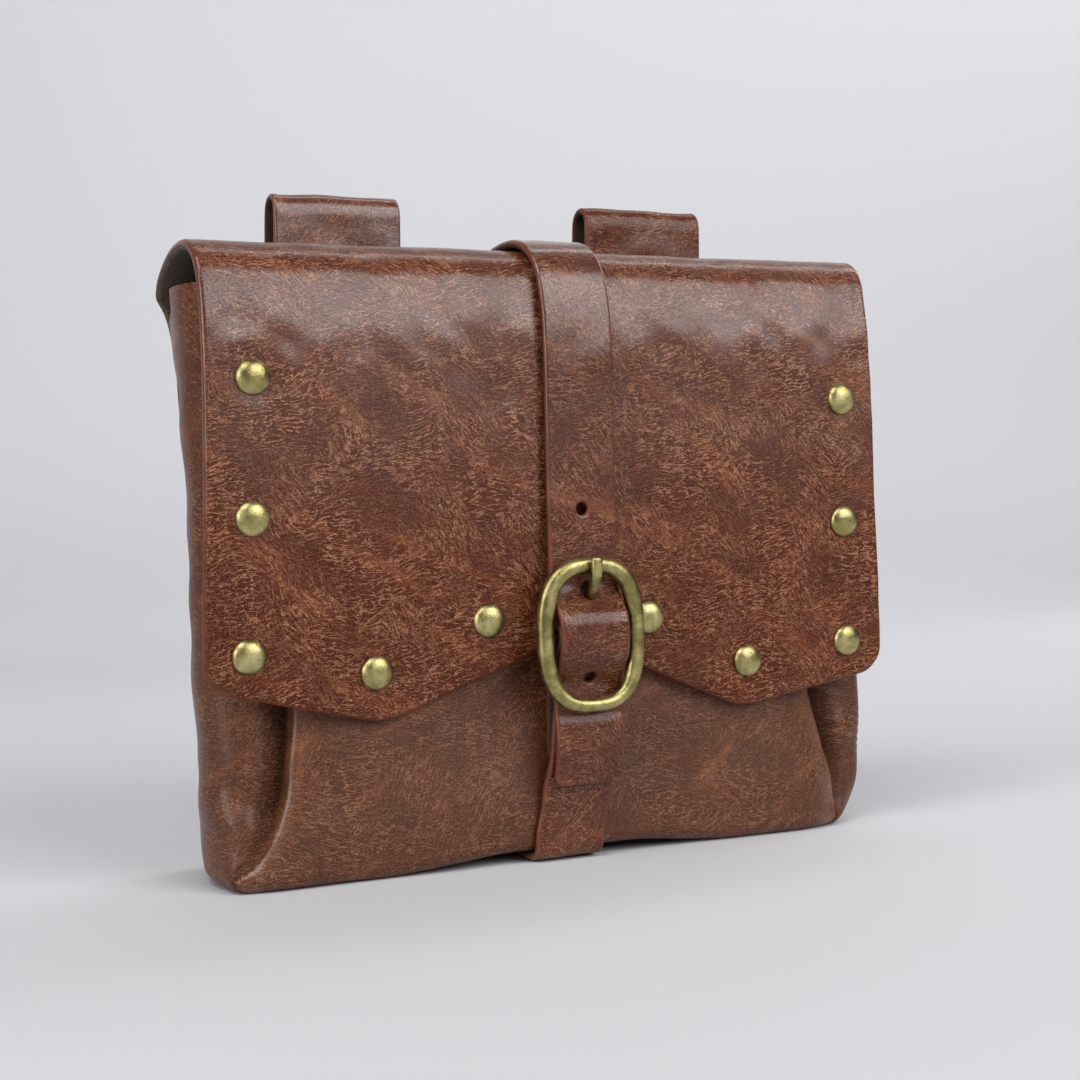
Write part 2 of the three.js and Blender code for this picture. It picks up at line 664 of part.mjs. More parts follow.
// A bar swept round a squared oval, with its front edges eased.
function buckleFrame() {
  const around = 44;
  const section = [
    { out: -0.5, front: -0.35 },
    { out: -0.36, front: -0.5 },
    { out: 0.36, front: -0.5 },
    { out: 0.5, front: -0.35 },
    { out: 0.5, front: 0.12 },
    { out: 0.28, front: 0.46 },
    { out: -0.1, front: 0.5 },
    { out: -0.5, front: 0.2 },
  ];
  const squared = (value) => Math.sign(value) * Math.abs(value) ** (2 / frameSquareness);
  const halfX = (buckleWide - frameBar) / 2;
  const middle = (angle) => [halfX * squared(Math.cos(angle)), frameReach * squared(Math.sin(angle))];
  const points = [];
  for (let i = 0; i < around; i++) {
    const angle = (i / around + 0.5 / around) * Math.PI * 2;
    const [x, z] = middle(angle);
    const [nextX, nextZ] = middle(angle + 0.02);
    const [lastX, lastZ] = middle(angle - 0.02);
    const outward = new THREE.Vector3(nextZ - lastZ, 0, lastX - nextX).normalize();
    for (const { out, front } of section) {
      const point = new THREE.Vector3(x, -front * frameThickness, z).addScaledVector(outward, out * frameBar);
      points.push(point.add(new THREE.Vector3(strapMiddle, -frameDepth, buckleHeight)));
    }
  }
  const corners = section.length;
  const triangles = [];
  for (let i = 0; i < around; i++) {
    const next = (i + 1) % around;
    for (let k = 0; k < corners; k++) {
      const beside = (k + 1) % corners;
      const [a, b] = [i * corners, next * corners];
      triangles.push(...quad(a + k, a + beside, b + beside, b + k));
    }
  }
  const ring = solidOf(closedGeometry(points, triangles));
  const barMiddle = new THREE.Vector3(strapMiddle, -barDepth, buckleHeight);
  const bar = peg(centreBarRadius, buckleWide - frameBar, barMiddle, new THREE.Vector3(1, 0, 0), 10);
  return geometryOf(ring.add(bar));
}

// The prong: an eye round the centre bar, and a bar that rises through the strap and lies over
// the upper end of the frame.
function buckleProng() {
  const overFrame = frameFront + stripOffset(prongThickness);
  const rise = [
    { depth: barDepth, up: prongEyeRadius * 0.6 },
    { depth: barDepth - 0.2, up: frameReach * 0.34 },
    { depth: barDepth + 0.3, up: frameReach * 0.53 },
    { depth: THREE.MathUtils.lerp(barDepth, overFrame, 0.5), up: frameReach * 0.71 },
    { depth: overFrame, up: frameReach * 0.91 },
    { depth: overFrame, up: frameReach + frameBar * 0.72 },
  ];
  const line = sideLine(rise.map(({ depth, up }) => [-depth, buckleHeight + up]));
  const blade = solidOf(strip(line, strapMiddle, prongWidth, prongThickness));
  const barMiddle = new THREE.Vector3(strapMiddle, -barDepth, buckleHeight);
  const across = new THREE.Vector3(1, 0, 0);
  const eye = peg(prongEyeRadius, prongWidth, barMiddle, across, 12);
  const bore = peg(centreBarRadius + fitGap, prongWidth * 2, barMiddle, across, 12);
  return geometryOf(blade.add(eye).subtract(bore));
}

// Belt loops

function beltLoopLine() {
  const near = stripOffset(loopLeather);
  const far = loopDepth - loopLeather / 2;
  const rearSeam = near + loopLeather + fitGap;
  const foldRadius = (far - near) / 2;
  const foldHeight = loopTop - loopLeather / 2 - foldRadius;
  const free = foldHeight - loopRivetHeights.upper;
  const points = [
    [near, loopEndHeight],
    [near, loopRivetHeights.upper],
    [near, loopRivetHeights.upper + free * 0.5],
    [near, foldHeight - foldRadius],
  ];
  const foldSteps = 6;
  for (let i = 0; i <= foldSteps; i++) {
    const angle = (1 - i / foldSteps) * Math.PI;
    points.push([near + foldRadius * (1 + Math.cos(angle)), foldHeight + foldRadius * Math.sin(angle)]);
  }
  points.push([far, foldHeight - free * 0.3]);
  points.push([far, foldHeight - free * 0.55]);
  points.push([THREE.MathUtils.lerp(rearSeam, far, 0.55), foldHeight - free * 0.74]);
  points.push([rearSeam, loopRivetHeights.upper + capRadius * 1.4]);
  points.push([rearSeam, loopRivetHeights.upper]);
  points.push([rearSeam, loopRivetHeights.lower]);
  points.push([rearSeam, loopEndHeight]);
  return sideLine(points);
}

const loopLine = beltLoopLine();

function beltLoop(sign) {
  const middle = sign * (loopInner + loopWidth / 2);
  let solid = solidOf(strip(loopLine, middle, loopWidth, loopLeather));
  for (const height of Object.values(loopRivetHeights)) {
    const place = new THREE.Vector3(middle, loopLeather, height);
    solid = solid.subtract(peg(postRadius + fitGap, loopLeather * 6, place, new THREE.Vector3(0, 1, 0), 10));
  }
  return geometryOf(solid);
}

// Rivets

// A rivet stands on a surface: its cap is in front, and its post goes back through a stack of
// leather to a flat cap behind.
function rivet(surface, out, stack, cap) {
  const seat = fitGap;
  const behind = -stack - fitGap;
  const profile = cap.domed
    ? [
        [0, seat + capRim + capDome],
        [capRadius * 0.6, seat + capRim + capDome * 0.78],
        [capRadius, seat + capRim],
        [capRadius, seat],
      ]
    : [
        [0, seat + flatCapThickness],
        [flatCapRadius * 0.85, seat + flatCapThickness],
        [flatCapRadius, seat],
      ];
  profile.push([postRadius, seat]);
  profile.push([postRadius, behind]);
  profile.push([cap.backRadius, behind]);
  profile.push([cap.backRadius, behind - backCapThickness]);
  profile.push([0, behind - backCapThickness]);
  const outline = profile.reverse().map(([radius, height]) => new THREE.Vector2(radius, height));
  const lathe = new THREE.LatheGeometry(outline, rivetSides);
  lathe.applyQuaternion(new THREE.Quaternion().setFromUnitVectors(new THREE.Vector3(0, 1, 0), out));
  lathe.translate(surface.x, surface.y, surface.z);
  return weld(lathe);
}

const domed = { domed: true, backRadius: backCapRadius };
const flat = { domed: false, backRadius: flatCapRadius };

function flapRivetPlace(sign, row) {
  const x = sign * row.reach * flapHalf;
  const { point, out } = placeOn(sheetLine, frontShareAt(row.height * crestHeight - flapSkew * x));
  point.x = x;
  return { point, out };
}

let flapSolid = solidOf(backAndFlap());
const sideNames = { left: -1, right: 1 };
for (const [name, sign] of Object.entries(sideNames)) {
  for (const row of flapRivets) {
    const place = flapRivetPlace(sign, row);
    flapSolid = flapSolid.subtract(holeCutter(place, place.point.x, postRadius + fitGap, flapLeather));
    addPiece(`flap_rivet_${name}_${row.place}`, rivet(place.point, place.out, flapLeather, domed), brass());
  }
}

// Rivets that hold the belt loops and the two straps to the back panel
const rearward = new THREE.Vector3(0, 1, 0);
function backHole(x, height) {
  flapSolid = flapSolid.subtract(
    peg(postRadius + fitGap, flapLeather * 3, new THREE.Vector3(x, 0, height), rearward, 10),
  );
}
for (const [name, sign] of Object.entries(sideNames)) {
  const x = sign * (loopInner + loopWidth / 2);
  for (const [place, height] of Object.entries(loopRivetHeights)) {
    const stack = flapLeather + 2 * (loopLeather + fitGap);
    const face = new THREE.Vector3(x, stack - flapLeather, height);
    backHole(x, height);
    addPiece(`loop_rivet_${name}_${place}`, rivet(face, rearward, stack, domed), brass());
  }
}
const strapRoots = [
  { name: 'closing_strap_rivet', height: closingRivetHeight, thickness: closingLeather },
  { name: 'buckle_strap_rivet', height: buckleRivetHeight, thickness: buckleLeather },
];
for (const { name, height, thickness } of strapRoots) {
  const face = new THREE.Vector3(strapMiddle, fitGap + thickness, height);
  backHole(strapMiddle, height);
  addPiece(name, rivet(face, rearward, flapLeather + fitGap + thickness, domed), brass());
}
const returnFace = returnMain.point.clone();
returnFace.x = strapMiddle;
returnFace.y -= buckleLeather / 2;
const returnStack = returnBack.point.y - returnMain.point.y + buckleLeather;
addPiece('strap_return_rivet', rivet(returnFace, returnMain.out, returnStack, flat), brass());

addPiece('back_and_flap', geometryOf(flapSolid), leather());
addPiece('pouch_body', pouchBody(), leather());
addPiece('closing_strap', closingStrap(), strapFinish());
addPiece('buckle_strap', buckleStrap(), strapFinish());
addPiece('buckle_frame', buckleFrame(), brass());
addPiece('buckle_prong', buckleProng(), brass());
addPiece('belt_loop_left', beltLoop(-1), loopFinish());
addPiece('belt_loop_right', beltLoop(1), loopFinish());

const extent = new THREE.Box3().setFromObject(pouch);
const centre = extent.getCenter(new THREE.Vector3());
pouch.position.set(-centre.x, -centre.y, -extent.min.z);
pouch.updateMatrixWorld(true);

export default pouch;
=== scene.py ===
import bpy
import numpy as np
from mathutils import Matrix, Vector


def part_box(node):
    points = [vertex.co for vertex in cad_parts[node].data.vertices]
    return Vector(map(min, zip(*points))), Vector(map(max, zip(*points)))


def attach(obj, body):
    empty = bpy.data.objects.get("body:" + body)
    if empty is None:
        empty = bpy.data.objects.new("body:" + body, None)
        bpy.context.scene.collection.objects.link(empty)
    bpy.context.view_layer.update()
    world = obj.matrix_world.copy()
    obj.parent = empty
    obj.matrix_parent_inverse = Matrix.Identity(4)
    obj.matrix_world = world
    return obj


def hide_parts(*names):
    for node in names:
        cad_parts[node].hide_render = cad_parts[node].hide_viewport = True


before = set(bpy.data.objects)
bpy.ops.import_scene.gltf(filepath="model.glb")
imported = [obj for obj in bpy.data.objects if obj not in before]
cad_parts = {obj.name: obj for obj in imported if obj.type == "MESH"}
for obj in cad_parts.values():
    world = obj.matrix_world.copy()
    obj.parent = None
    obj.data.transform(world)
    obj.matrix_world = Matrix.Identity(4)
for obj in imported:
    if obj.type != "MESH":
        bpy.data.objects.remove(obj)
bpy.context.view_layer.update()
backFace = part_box("back_and_flap")[1].y * 1000


# Smooth lines and tables


def through(points, perSpan):
    # A line through points: each span is a cubic whose end slopes come from the points beside it,
    # with steps that grow with the square root of the spacing.
    p = np.asarray(points, float)
    first = 2 * p[..., :1, :] - p[..., 1:2, :]
    last = 2 * p[..., -1:, :] - p[..., -2:-1, :]
    p = np.concatenate([first, p, last], axis=-2)
    step = np.maximum(np.linalg.norm(np.diff(p, axis=-2), axis=-1, keepdims=True), 1e-6) ** 0.5
    spans = p.shape[-2] - 3
    a, b, c, d = (p[..., k : k + spans, :] for k in range(4))
    before, here, after = (step[..., k : k + spans, :] for k in range(3))
    leave = here * ((b - a) / before - (c - a) / (before + here) + (c - b) / here)
    arrive = here * ((c - b) / here - (d - b) / (here + after) + (d - c) / after)
    t = np.linspace(0, 1, perSpan, endpoint=False)[:, None]
    b, c, leave, arrive = (v[..., None, :] for v in (b, c, leave, arrive))
    line = b * (2 * t**3 - 3 * t**2 + 1) + c * (3 * t**2 - 2 * t**3)
    line = line + leave * (t**3 - 2 * t**2 + t) + arrive * (t**3 - t**2)
    line = line.reshape(*p.shape[:-2], -1, p.shape[-1])
    return np.concatenate([line, p[..., -2:-1, :]], axis=-2)


def readTable(keys, rows, at):
    # Values of a table between its rows: cubic in each interval, with the mean slope at its rows.
    keys, rows = np.asarray(keys, float), np.asarray(rows, float)
    slope = np.gradient(rows, keys, axis=0)
    at = np.clip(at, keys[0], keys[-1])
    k = np.clip(np.searchsorted(keys, at) - 1, 0, len(keys) - 2)
    width = (keys[k + 1] - keys[k])[:, None]
    t = (at - keys[k])[:, None] / width
    value = rows[k] * (2 * t**3 - 3 * t**2 + 1) + rows[k + 1] * (3 * t**2 - 2 * t**3)
    return value + width * (slope[k] * (t**3 - 2 * t**2 + t) + slope[k + 1] * (t**3 - t**2))


def smooth(value, low, high):
    t = np.clip((value - low) / (high - low), 0, 1)
    return t * t * (3 - 2 * t)


def hump(value, middle, reach):
    return np.exp(-(((value - middle) / reach) ** 2))


def ripple(u, v, height, seed, shortest, longest):
    # Slow unevenness of about one height: a sum of plane waves with seeded directions.
    waves = 14
    rng = np.random.default_rng(seed)
    turn = rng.uniform(0, 2 * np.pi, waves)
    length = rng.uniform(shortest, longest, waves)
    phase = rng.uniform(0, 2 * np.pi, waves)
    along = u[..., None] * np.cos(turn) + v[..., None] * np.sin(turn)
    return height * (np.cos(along * 2 * np.pi / length + phase).sum(-1) / waves**0.5)


def edgeSteps(reach, step):
    # Distances from an edge: close together where the edge is rounded, even further in.
    near = [0, 0.07, 0.18, 0.35, 0.6, 0.9, 1.2, 1.6, 2.1, 2.7, 3.5, 4.5, 5.7]
    even = 7
    return np.array(near + list(np.linspace(even, reach, max(2, round((reach - even) / step)))))


def bothWays(steps):
    # The same steps from both ends of a length, where the last step is its middle.
    whole = steps[-1] * 2
    return np.concatenate([steps, whole - steps[-2::-1]])


def runOf(line):
    # Length along a line up to each of its points.
    return np.concatenate([[0], np.cumsum(np.linalg.norm(np.diff(line, axis=0), axis=1))])


def unit(vectors):
    return vectors / np.linalg.norm(vectors, axis=-1, keepdims=True)


def squared(values, power):
    # Cosines or sines bent from a circle towards a square.
    return np.sign(values) * np.abs(values) ** (2 / power)


# Meshes


def gridQuads(rows, columns, flip=False):
    r, c = np.meshgrid(np.arange(rows - 1), np.arange(columns - 1), indexing="ij")
    a = (r * columns + c).ravel()
    quads = np.stack([a, a + columns, a + columns + 1, a + 1], 1)
    return quads[:, ::-1] if flip else quads


def ringQuads(here, there):
    # Faces between rings of point numbers and the rings beside them.
    return np.stack([here, there, np.roll(there, -1, 1), np.roll(here, -1, 1)], -1).reshape(-1, 4)


def normalsOf(points, quads):
    # Mean direction of the faces round each point: cross product of the diagonals.
    diagonals = points[quads[:, 2]] - points[quads[:, 0]], points[quads[:, 3]] - points[quads[:, 1]]
    facing = np.cross(*diagonals)
    total = np.zeros_like(points)
    for k in range(4):
        np.add.at(total, quads[:, k], facing)
    return total / np.maximum(np.linalg.norm(total, axis=1, keepdims=True), 1e-9)


def inScene(name, data):
    thing = bpy.data.objects.new(name, data)
    bpy.context.scene.collection.objects.link(thing)
    return thing


def makePiece(name, points, faceSets, materials, nodes, kinds=None, facts=None, sharp=None):
    # faceSets are index arrays, one for each number of corners; kinds is the material of each face.
    used = np.unique(np.concatenate([faces.ravel() for faces in faceSets]))
    place = np.zeros(len(points), int)
    place[used] = np.arange(len(used))
    corners = np.concatenate([place[faces].ravel() for faces in faceSets])
    sizes = np.concatenate([np.full(len(faces), faces.shape[1]) for faces in faceSets])
    mesh = bpy.data.meshes.new(name)
    mesh.vertices.add(len(used))
    mesh.vertices.foreach_set("co", (points[used] * 0.001).ravel())
    mesh.loops.add(len(corners))
    mesh.loops.foreach_set("vertex_index", corners)
    mesh.polygons.add(len(sizes))
    mesh.polygons.foreach_set("loop_start", np.cumsum(sizes) - sizes)
    for material in materials:
        mesh.materials.append(material)
    if kinds is not None:
        mesh.polygons.foreach_set("material_index", kinds)
    mesh.update(calc_edges=True)
    mesh.shade_smooth()
    if sharp:
        mesh.set_sharp_from_angle(angle=np.radians(sharp))
    for key, values in (facts or {}).items():
        wide = values.ndim == 2
        layer = mesh.attributes.new(key, "FLOAT_VECTOR" if wide else "FLOAT", "POINT")
        values = values[used].astype(np.float32).ravel()
        layer.data.foreach_set("vector" if wide else "value", values)
    piece = inScene(name, mesh)
    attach(piece, "root")
    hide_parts(*nodes)
    print("made", name, len(sizes), "faces")


def makeShell(name, middle, quads, half, flat, edge, shadeAndPolish, materials, nodes, sharp=None):
    # A closed sheet: its middle surface moved out and in by half the leather, and joined along
    # every open edge. flat is the place on the unrolled leather, edge the distance to its border,
    # and the last pair the painted shade (below zero, painted highlight) and how polished it is.
    paintStops = (0.35, 0.75)
    fleshPlace = [0, 0, 40]
    facing = normalsOf(middle, quads)
    count = len(middle)
    points = np.concatenate([middle + facing * half[:, None], middle - facing * half[:, None]])
    start, end = quads.ravel(), np.roll(quads, -1, axis=1).ravel()
    border = ~np.isin(start * count + end, end * count + start)
    start, end = start[border], end[border]
    wall = np.stack([end, start, start + count, end + count], 1)
    faces = np.concatenate([quads, quads[:, ::-1] + count, wall])
    kinds = np.repeat([0, 1, 0], [len(quads), len(quads), len(wall)]).astype(np.int32)
    flat = np.concatenate([flat, np.zeros((count, 1))], 1)
    facts = {"flat": np.concatenate([flat, flat + fleshPlace])}
    paint = 1 - smooth(edge, *paintStops)
    for key, values in zip(("paint", "shade", "polish"), (paint, *shadeAndPolish)):
        facts[key] = np.tile(np.broadcast_to(values, count), 2)
    makePiece(name, points, [faces], materials, nodes, kinds, facts, sharp)


def rounded(edge, leather, radius):
    # Half thickness near a rounded border: full inside, falling off as a quarter circle.
    inside = np.clip(1 - edge / radius, 0, 1)
    return leather / 2 - radius + radius * np.sqrt(np.maximum(0, 1 - inside**2))


def sideLine(points, perSpan=40):
    # A line in side view from (depth, height) points, with its length and outward direction.
    depth, height = through(points, perSpan).T
    line = np.stack([backFace - depth, height], 1)
    run = runOf(line)
    along = unit(np.gradient(line, run, axis=0))
    return {"run": run, "at": line, "out": np.stack([along[:, 1], -along[:, 0]], 1)}


def onLine(line, run, rise=0):
    y, z, outY, outZ = (
        np.interp(run, line["run"], line[key][:, k]) for key in ("at", "out") for k in (0, 1)
    )
    return y + outY * rise, z + outZ * rise


def runAtHeight(line, height, front):
    # Length along the line at which its front or back part passes a height.
    top = np.argmax(line["at"][:, 1])
    part = slice(top, None) if front else slice(0, top)
    z, run = line["at"][part, 1], line["run"][part]
    order = np.argsort(z)
    return np.interp(height, z[order], run[order])


def punch(flat, quads, rows, columns, centre, radii, blockRows, blockColumns):
    # Cuts a hole in a grid: a block of cells is left out, and rings join its rim to the hole.
    grid = np.arange(rows * columns).reshape(rows, columns)
    gap = np.abs(flat[grid] - np.asarray(centre)).sum(-1)
    r, c = np.unravel_index(np.argmin(gap), gap.shape)
    top, bottom = r - blockRows, r + blockRows
    left, right = c - blockColumns, c + blockColumns
    inside = np.isin(quads, grid[top : bottom + 1, left : right + 1]).all(1)
    down, along = grid[top:bottom, left], grid[bottom, left:right]
    up, back = grid[bottom:top:-1, right], grid[top, right:left:-1]
    rim = np.concatenate([down, along, up, back])
    away = (flat[rim] - centre) / radii
    circle = centre + unit(away) * radii
    shares = np.array([0, 0.04, 0.1, 0.2, 0.34, 0.52, 0.75])[:, None, None]
    rings = circle + (flat[rim] - circle) * shares
    index = np.arange(len(rings) * len(rim)).reshape(-1, len(rim)) + len(flat)
    index = np.concatenate([index, rim[None]])
    patch = ringQuads(index[:-1], index[1:])
    return np.concatenate([flat, rings.reshape(-1, 2)]), np.concatenate([quads[~inside], patch])


# Leather shading: node groups that give colours, masks, roughness and heights


def newGroup(name, inputs, outputs):
    group = bpy.data.node_groups.new(name, "ShaderNodeTree")
    kinds = {"vector": "NodeSocketVector", "color": "NodeSocketColor", "float": "NodeSocketFloat"}
    for sockets, way in ((inputs, "INPUT"), (outputs, "OUTPUT")):
        for key, kind in sockets.items():
            group.interface.new_socket(key, in_out=way, socket_type=kinds[kind])
    start = group.nodes.new("NodeGroupInput")
    end = group.nodes.new("NodeGroupOutput")
    return group, start.outputs, end.inputs


def setSocket(tree, socket, value):
    if isinstance(value, bpy.types.NodeSocket):
        tree.links.new(value, socket)
    else:
        socket.default_value = value


def setInputs(tree, node, values):
    for key, value in values.items():
        setSocket(tree, node.inputs[key], value)
    return node


def addNode(tree, kind, values=None, **settings):
    node = tree.nodes.new(kind)
    for key, value in settings.items():
        setattr(node, key, value)
    return setInputs(tree, node, values or {})


def calc(tree, operation, a, b=0.0, c=0.0):
    node = addNode(tree, "ShaderNodeMath", {0: a, 1: b, 2: c}, operation=operation)
    return node.outputs[0]


def vectorCalc(tree, operation, a, b):
    return addNode(tree, "ShaderNodeVectorMath", {0: a, 1: b}, operation=operation).outputs[0]


def times(tree, a, b):
    return calc(tree, "MULTIPLY", a, b)


def larger(tree, a, b):
    return calc(tree, "MAXIMUM", a, b)


def stretched(tree, place, factors):
    return vectorCalc(tree, "MULTIPLY", place, factors)


def moved(tree, place, step):
    return vectorCalc(tree, "ADD", place, step)


def spun(tree, place, angle):
    values = {"Vector": place, "Angle": angle}
    return addNode(tree, "ShaderNodeVectorRotate", values, rotation_type="Z_AXIS").outputs[0]


def noise(tree, place, scale, detail=2.0, roughness=0.5, key="Fac"):
    values = {"Vector": place, "Scale": scale, "Detail": detail, "Roughness": roughness}
    return addNode(tree, "ShaderNodeTexNoise", values).outputs[key]


def ramp(tree, value, low, high, start=0.0, end=1.0):
    values = {"Value": value, "From Min": low, "From Max": high, "To Min": start, "To Max": end}
    return addNode(tree, "ShaderNodeMapRange", values, interpolation_type="SMOOTHSTEP").outputs[0]


def blend(tree, share, a, b):
    node = addNode(tree, "ShaderNodeMix", data_type="RGBA")
    for index, value in {0: share, 6: a, 7: b}.items():  # the sockets for colours
        setSocket(tree, node.inputs[index], value)
    return node.outputs[2]


def tone(red, green, blue):
    # A screen colour of 0 to 255 as linear light.
    value = np.array([red, green, blue]) / 255
    linear = np.where(value < 0.04045, value / 12.92, ((value + 0.055) / 1.055) ** 2.4)
    return (*linear.tolist(), 1.0)


def strokeGroup():
    # Pale broken strokes with painted shadow on one side: level lines of a stretched, crinkled
    # noise.
    inputs = {"Place": "vector", "Scale": "float", "Width": "float", "Turn": "float"}
    tree, given, made = newGroup("strokes", inputs, {"Line": "float", "Shadow": "float"})
    width, sharpest = given["Width"], 0.004
    place = stretched(tree, spun(tree, given["Place"], given["Turn"]), (0.24, 1.0, 1.0))
    away = calc(tree, "SUBTRACT", noise(tree, place, given["Scale"], 3, 0.55), 0.5)
    beside = calc(tree, "SUBTRACT", away, times(tree, width, 1.7))
    for key, level in (("Line", away), ("Shadow", beside)):
        line = ramp(tree, calc(tree, "ABSOLUTE", level), width, sharpest)
        tree.links.new(line, made[key])
    return tree


hide = {
    "dark": (70, 23, 7), "warm": (88, 34, 11), "tan": (87, 57, 37), "fleck": (142, 86, 54),
    "cloud": (140, 84, 48), "vein": (184, 128, 94), "crackAndShadow": (30, 10, 4),
    "rubAndHighlight": (164, 112, 78), "paintedShade": (14, 5, 3), "hollow": (34, 12, 5),
    "pebble": (170, 112, 82), "paintDark": (92, 46, 30), "paintPale": (118, 66, 46),
}
hide = {key: tone(*colour) for key, colour in hide.items()}


leatherInputs = ("Paint", "Shade", "Veins", "Wrinkles", "Dull", "Tan")


def leatherGroup(strokes):
    # Colour, roughness, share of wax gloss and height of pull-up leather, from its place on the
    # unrolled sheet.
    inputs = {"Place": "vector", **dict.fromkeys(leatherInputs, "float")}
    outputs = {"Colour": "color", "Roughness": "float", "Gloss": "float", "Height": "float"}
    tree, given, made = newGroup("leather", inputs, outputs)
    place, veins, shade = given["Place"], given["Veins"], given["Shade"]

    def strokeLayer(scale, width, turn):
        values = {"Place": bent, "Scale": scale, "Width": width, "Turn": turn}
        return addNode(tree, "ShaderNodeGroup", values, node_tree=strokes).outputs

    def over(share, below, colour):
        return blend(tree, share, below, hide[colour])

    # The pattern's lines bend slowly over the hide.
    drift = vectorCalc(tree, "SUBTRACT", noise(tree, place, 0.05, 2, 0.5, "Color"), (0.5, 0.5, 0.5))
    bent = moved(tree, place, stretched(tree, drift, (9, 9, 0)))
    # Masks: busy and quiet regions, clouds, grain, pebbles, and veins that run level or steep.
    # dark is painted shadow along one side of the level veins.
    level, dark = strokeLayer(1.12, 0.034, 0.12)
    steep = strokeLayer(1.05, 0.034, -0.9)["Line"]
    region = noise(tree, moved(tree, bent, (40, 25, 0)), 0.075, 4, 0.6)
    busy = ramp(tree, region, 0.32, 0.58, 0.2, 1.0)
    crossed = ramp(tree, noise(tree, moved(tree, place, (220, 90, 0)), 0.05, 2), 0.5, 0.58)
    mottle = noise(tree, stretched(tree, spun(tree, bent, -0.5), (0.3, 1.2, 1.0)), 0.11, 5, 0.62)
    grain = noise(tree, stretched(tree, bent, (0.75, 1.05, 1.0)), 3.0, 3, 0.7)
    pebble = noise(tree, stretched(tree, place, (0.8, 1.1, 1.0)), 2.7, 1, 0.5)
    pebble = ramp(tree, pebble, 0.32, 0.68)
    line = times(tree, level, ramp(tree, crossed, 1.0, 0.0, 0.3, 1.0))
    line = larger(tree, line, times(tree, steep, crossed))
    line = times(tree, line, ramp(tree, grain, 0.4, 0.52, 0.62, 1.0))
    line = times(tree, line, times(tree, busy, veins))
    fleck = times(tree, ramp(tree, grain, 0.5, 0.64), 0.3)
    # Dark cracks in the grain together with the painted shadow beside the veins.
    crackAndShadow = larger(tree, ramp(tree, grain, 0.47, 0.36, 0.0, 0.45), times(tree, dark, 0.4))
    # Colours, from the dye up to what use has left, with painted shadow, shade and highlight among
    # them.
    base = blend(tree, ramp(tree, mottle, 0.34, 0.68), hide["dark"], hide["warm"])
    base = over(given["Tan"], base, "tan")
    base = over(times(tree, fleck, veins), base, "fleck")
    base = over(ramp(tree, mottle, 0.54, 0.74, 0.0, 0.55), base, "cloud")
    base = over(line, base, "vein")
    base = over(times(tree, crackAndShadow, veins), base, "crackAndShadow")
    # Painted highlight where Shade is below zero (the ridge of the body's crease), painted shade
    # where it is above zero (creases and holes).
    base = over(larger(tree, times(tree, shade, -1.0), 0.0), base, "rubAndHighlight")
    base = over(larger(tree, shade, 0.0), base, "paintedShade")
    base = over(calc(tree, "MULTIPLY_ADD", pebble, -0.26, 0.26), base, "hollow")
    base = over(ramp(tree, pebble, 0.55, 1.0, 0.0, 0.16), base, "pebble")
    painted = blend(tree, ramp(tree, mottle, 0.3, 0.7), hide["paintDark"], hide["paintPale"])
    tree.links.new(blend(tree, given["Paint"], base, painted), made["Colour"])
    # Wax lies on the high grain, not in the pits nor in the painted shadow beside the veins.
    pits = larger(tree, ramp(tree, grain, 0.5, 0.4), times(tree, dark, 0.6))
    gloss = calc(tree, "SUBTRACT", calc(tree, "MULTIPLY_ADD", pits, -0.75, 1.0), shade)
    tree.links.new(larger(tree, gloss, 0.0), made["Gloss"])
    rough = calc(tree, "ADD", ramp(tree, region, 0.38, 0.6, 0.34, 0.27), given["Dull"])
    rough = calc(tree, "MULTIPLY_ADD", shade, 0.5, rough)
    tree.links.new(calc(tree, "MULTIPLY_ADD", line, 0.15, rough), made["Roughness"])
    folds = noise(tree, stretched(tree, bent, (0.28, 1.0, 1.0)), 0.8, 2, 0.6)
    height = calc(tree, "MULTIPLY_ADD", pebble, 0.05, times(tree, grain, 0.11))
    height = calc(tree, "MULTIPLY_ADD", level, 0.03, height)
    wrinkled = times(tree, busy, given["Wrinkles"])
    height = calc(tree, "MULTIPLY_ADD", folds, wrinkled, height)
    height = times(tree, height, calc(tree, "SUBTRACT", 1.0, given["Paint"]))
    tree.links.new(height, made["Height"])
    return tree


def bump(tree, height, strength, distance=0.0003):
    values = {"Strength": strength, "Distance": distance, "Height": height}
    return addNode(tree, "ShaderNodeBump", values).outputs["Normal"]


def newMaterial(name):
    material = bpy.data.materials.new(name)
    material.use_nodes = True
    return material, material.node_tree, material.node_tree.nodes["Principled BSDF"]


def leatherMaterial(name, group, sheen, veins, wrinkles, dull, tan):
    material, tree, shader = newMaterial(name)
    place, paint, shade, polish = (
        addNode(tree, "ShaderNodeAttribute", attribute_name=key).outputs
        for key in ("flat", "paint", "shade", "polish")
    )
    values = (paint["Fac"], shade["Fac"], veins, wrinkles, dull, tan)
    values = {"Place": place["Vector"], **dict(zip(leatherInputs, values))}
    made = addNode(tree, "ShaderNodeGroup", values, node_tree=group).outputs
    bare = calc(tree, "SUBTRACT", 1.0, shade["Fac"])
    bare = times(tree, bare, calc(tree, "MINIMUM", polish["Fac"], 1.0))
    waxed = times(tree, made["Gloss"], times(tree, polish["Fac"], sheen))
    values = {
        "Base Color": made["Colour"],
        "Roughness": made["Roughness"],
        "Normal": bump(tree, made["Height"], 1.0),
        "IOR": 1.48,
        "Specular IOR Level": times(tree, bare, 0.28),
        "Coat Weight": calc(tree, "MINIMUM", waxed, 1.0),
        "Coat Roughness": 0.22,
    }
    setInputs(tree, shader, values)
    return material


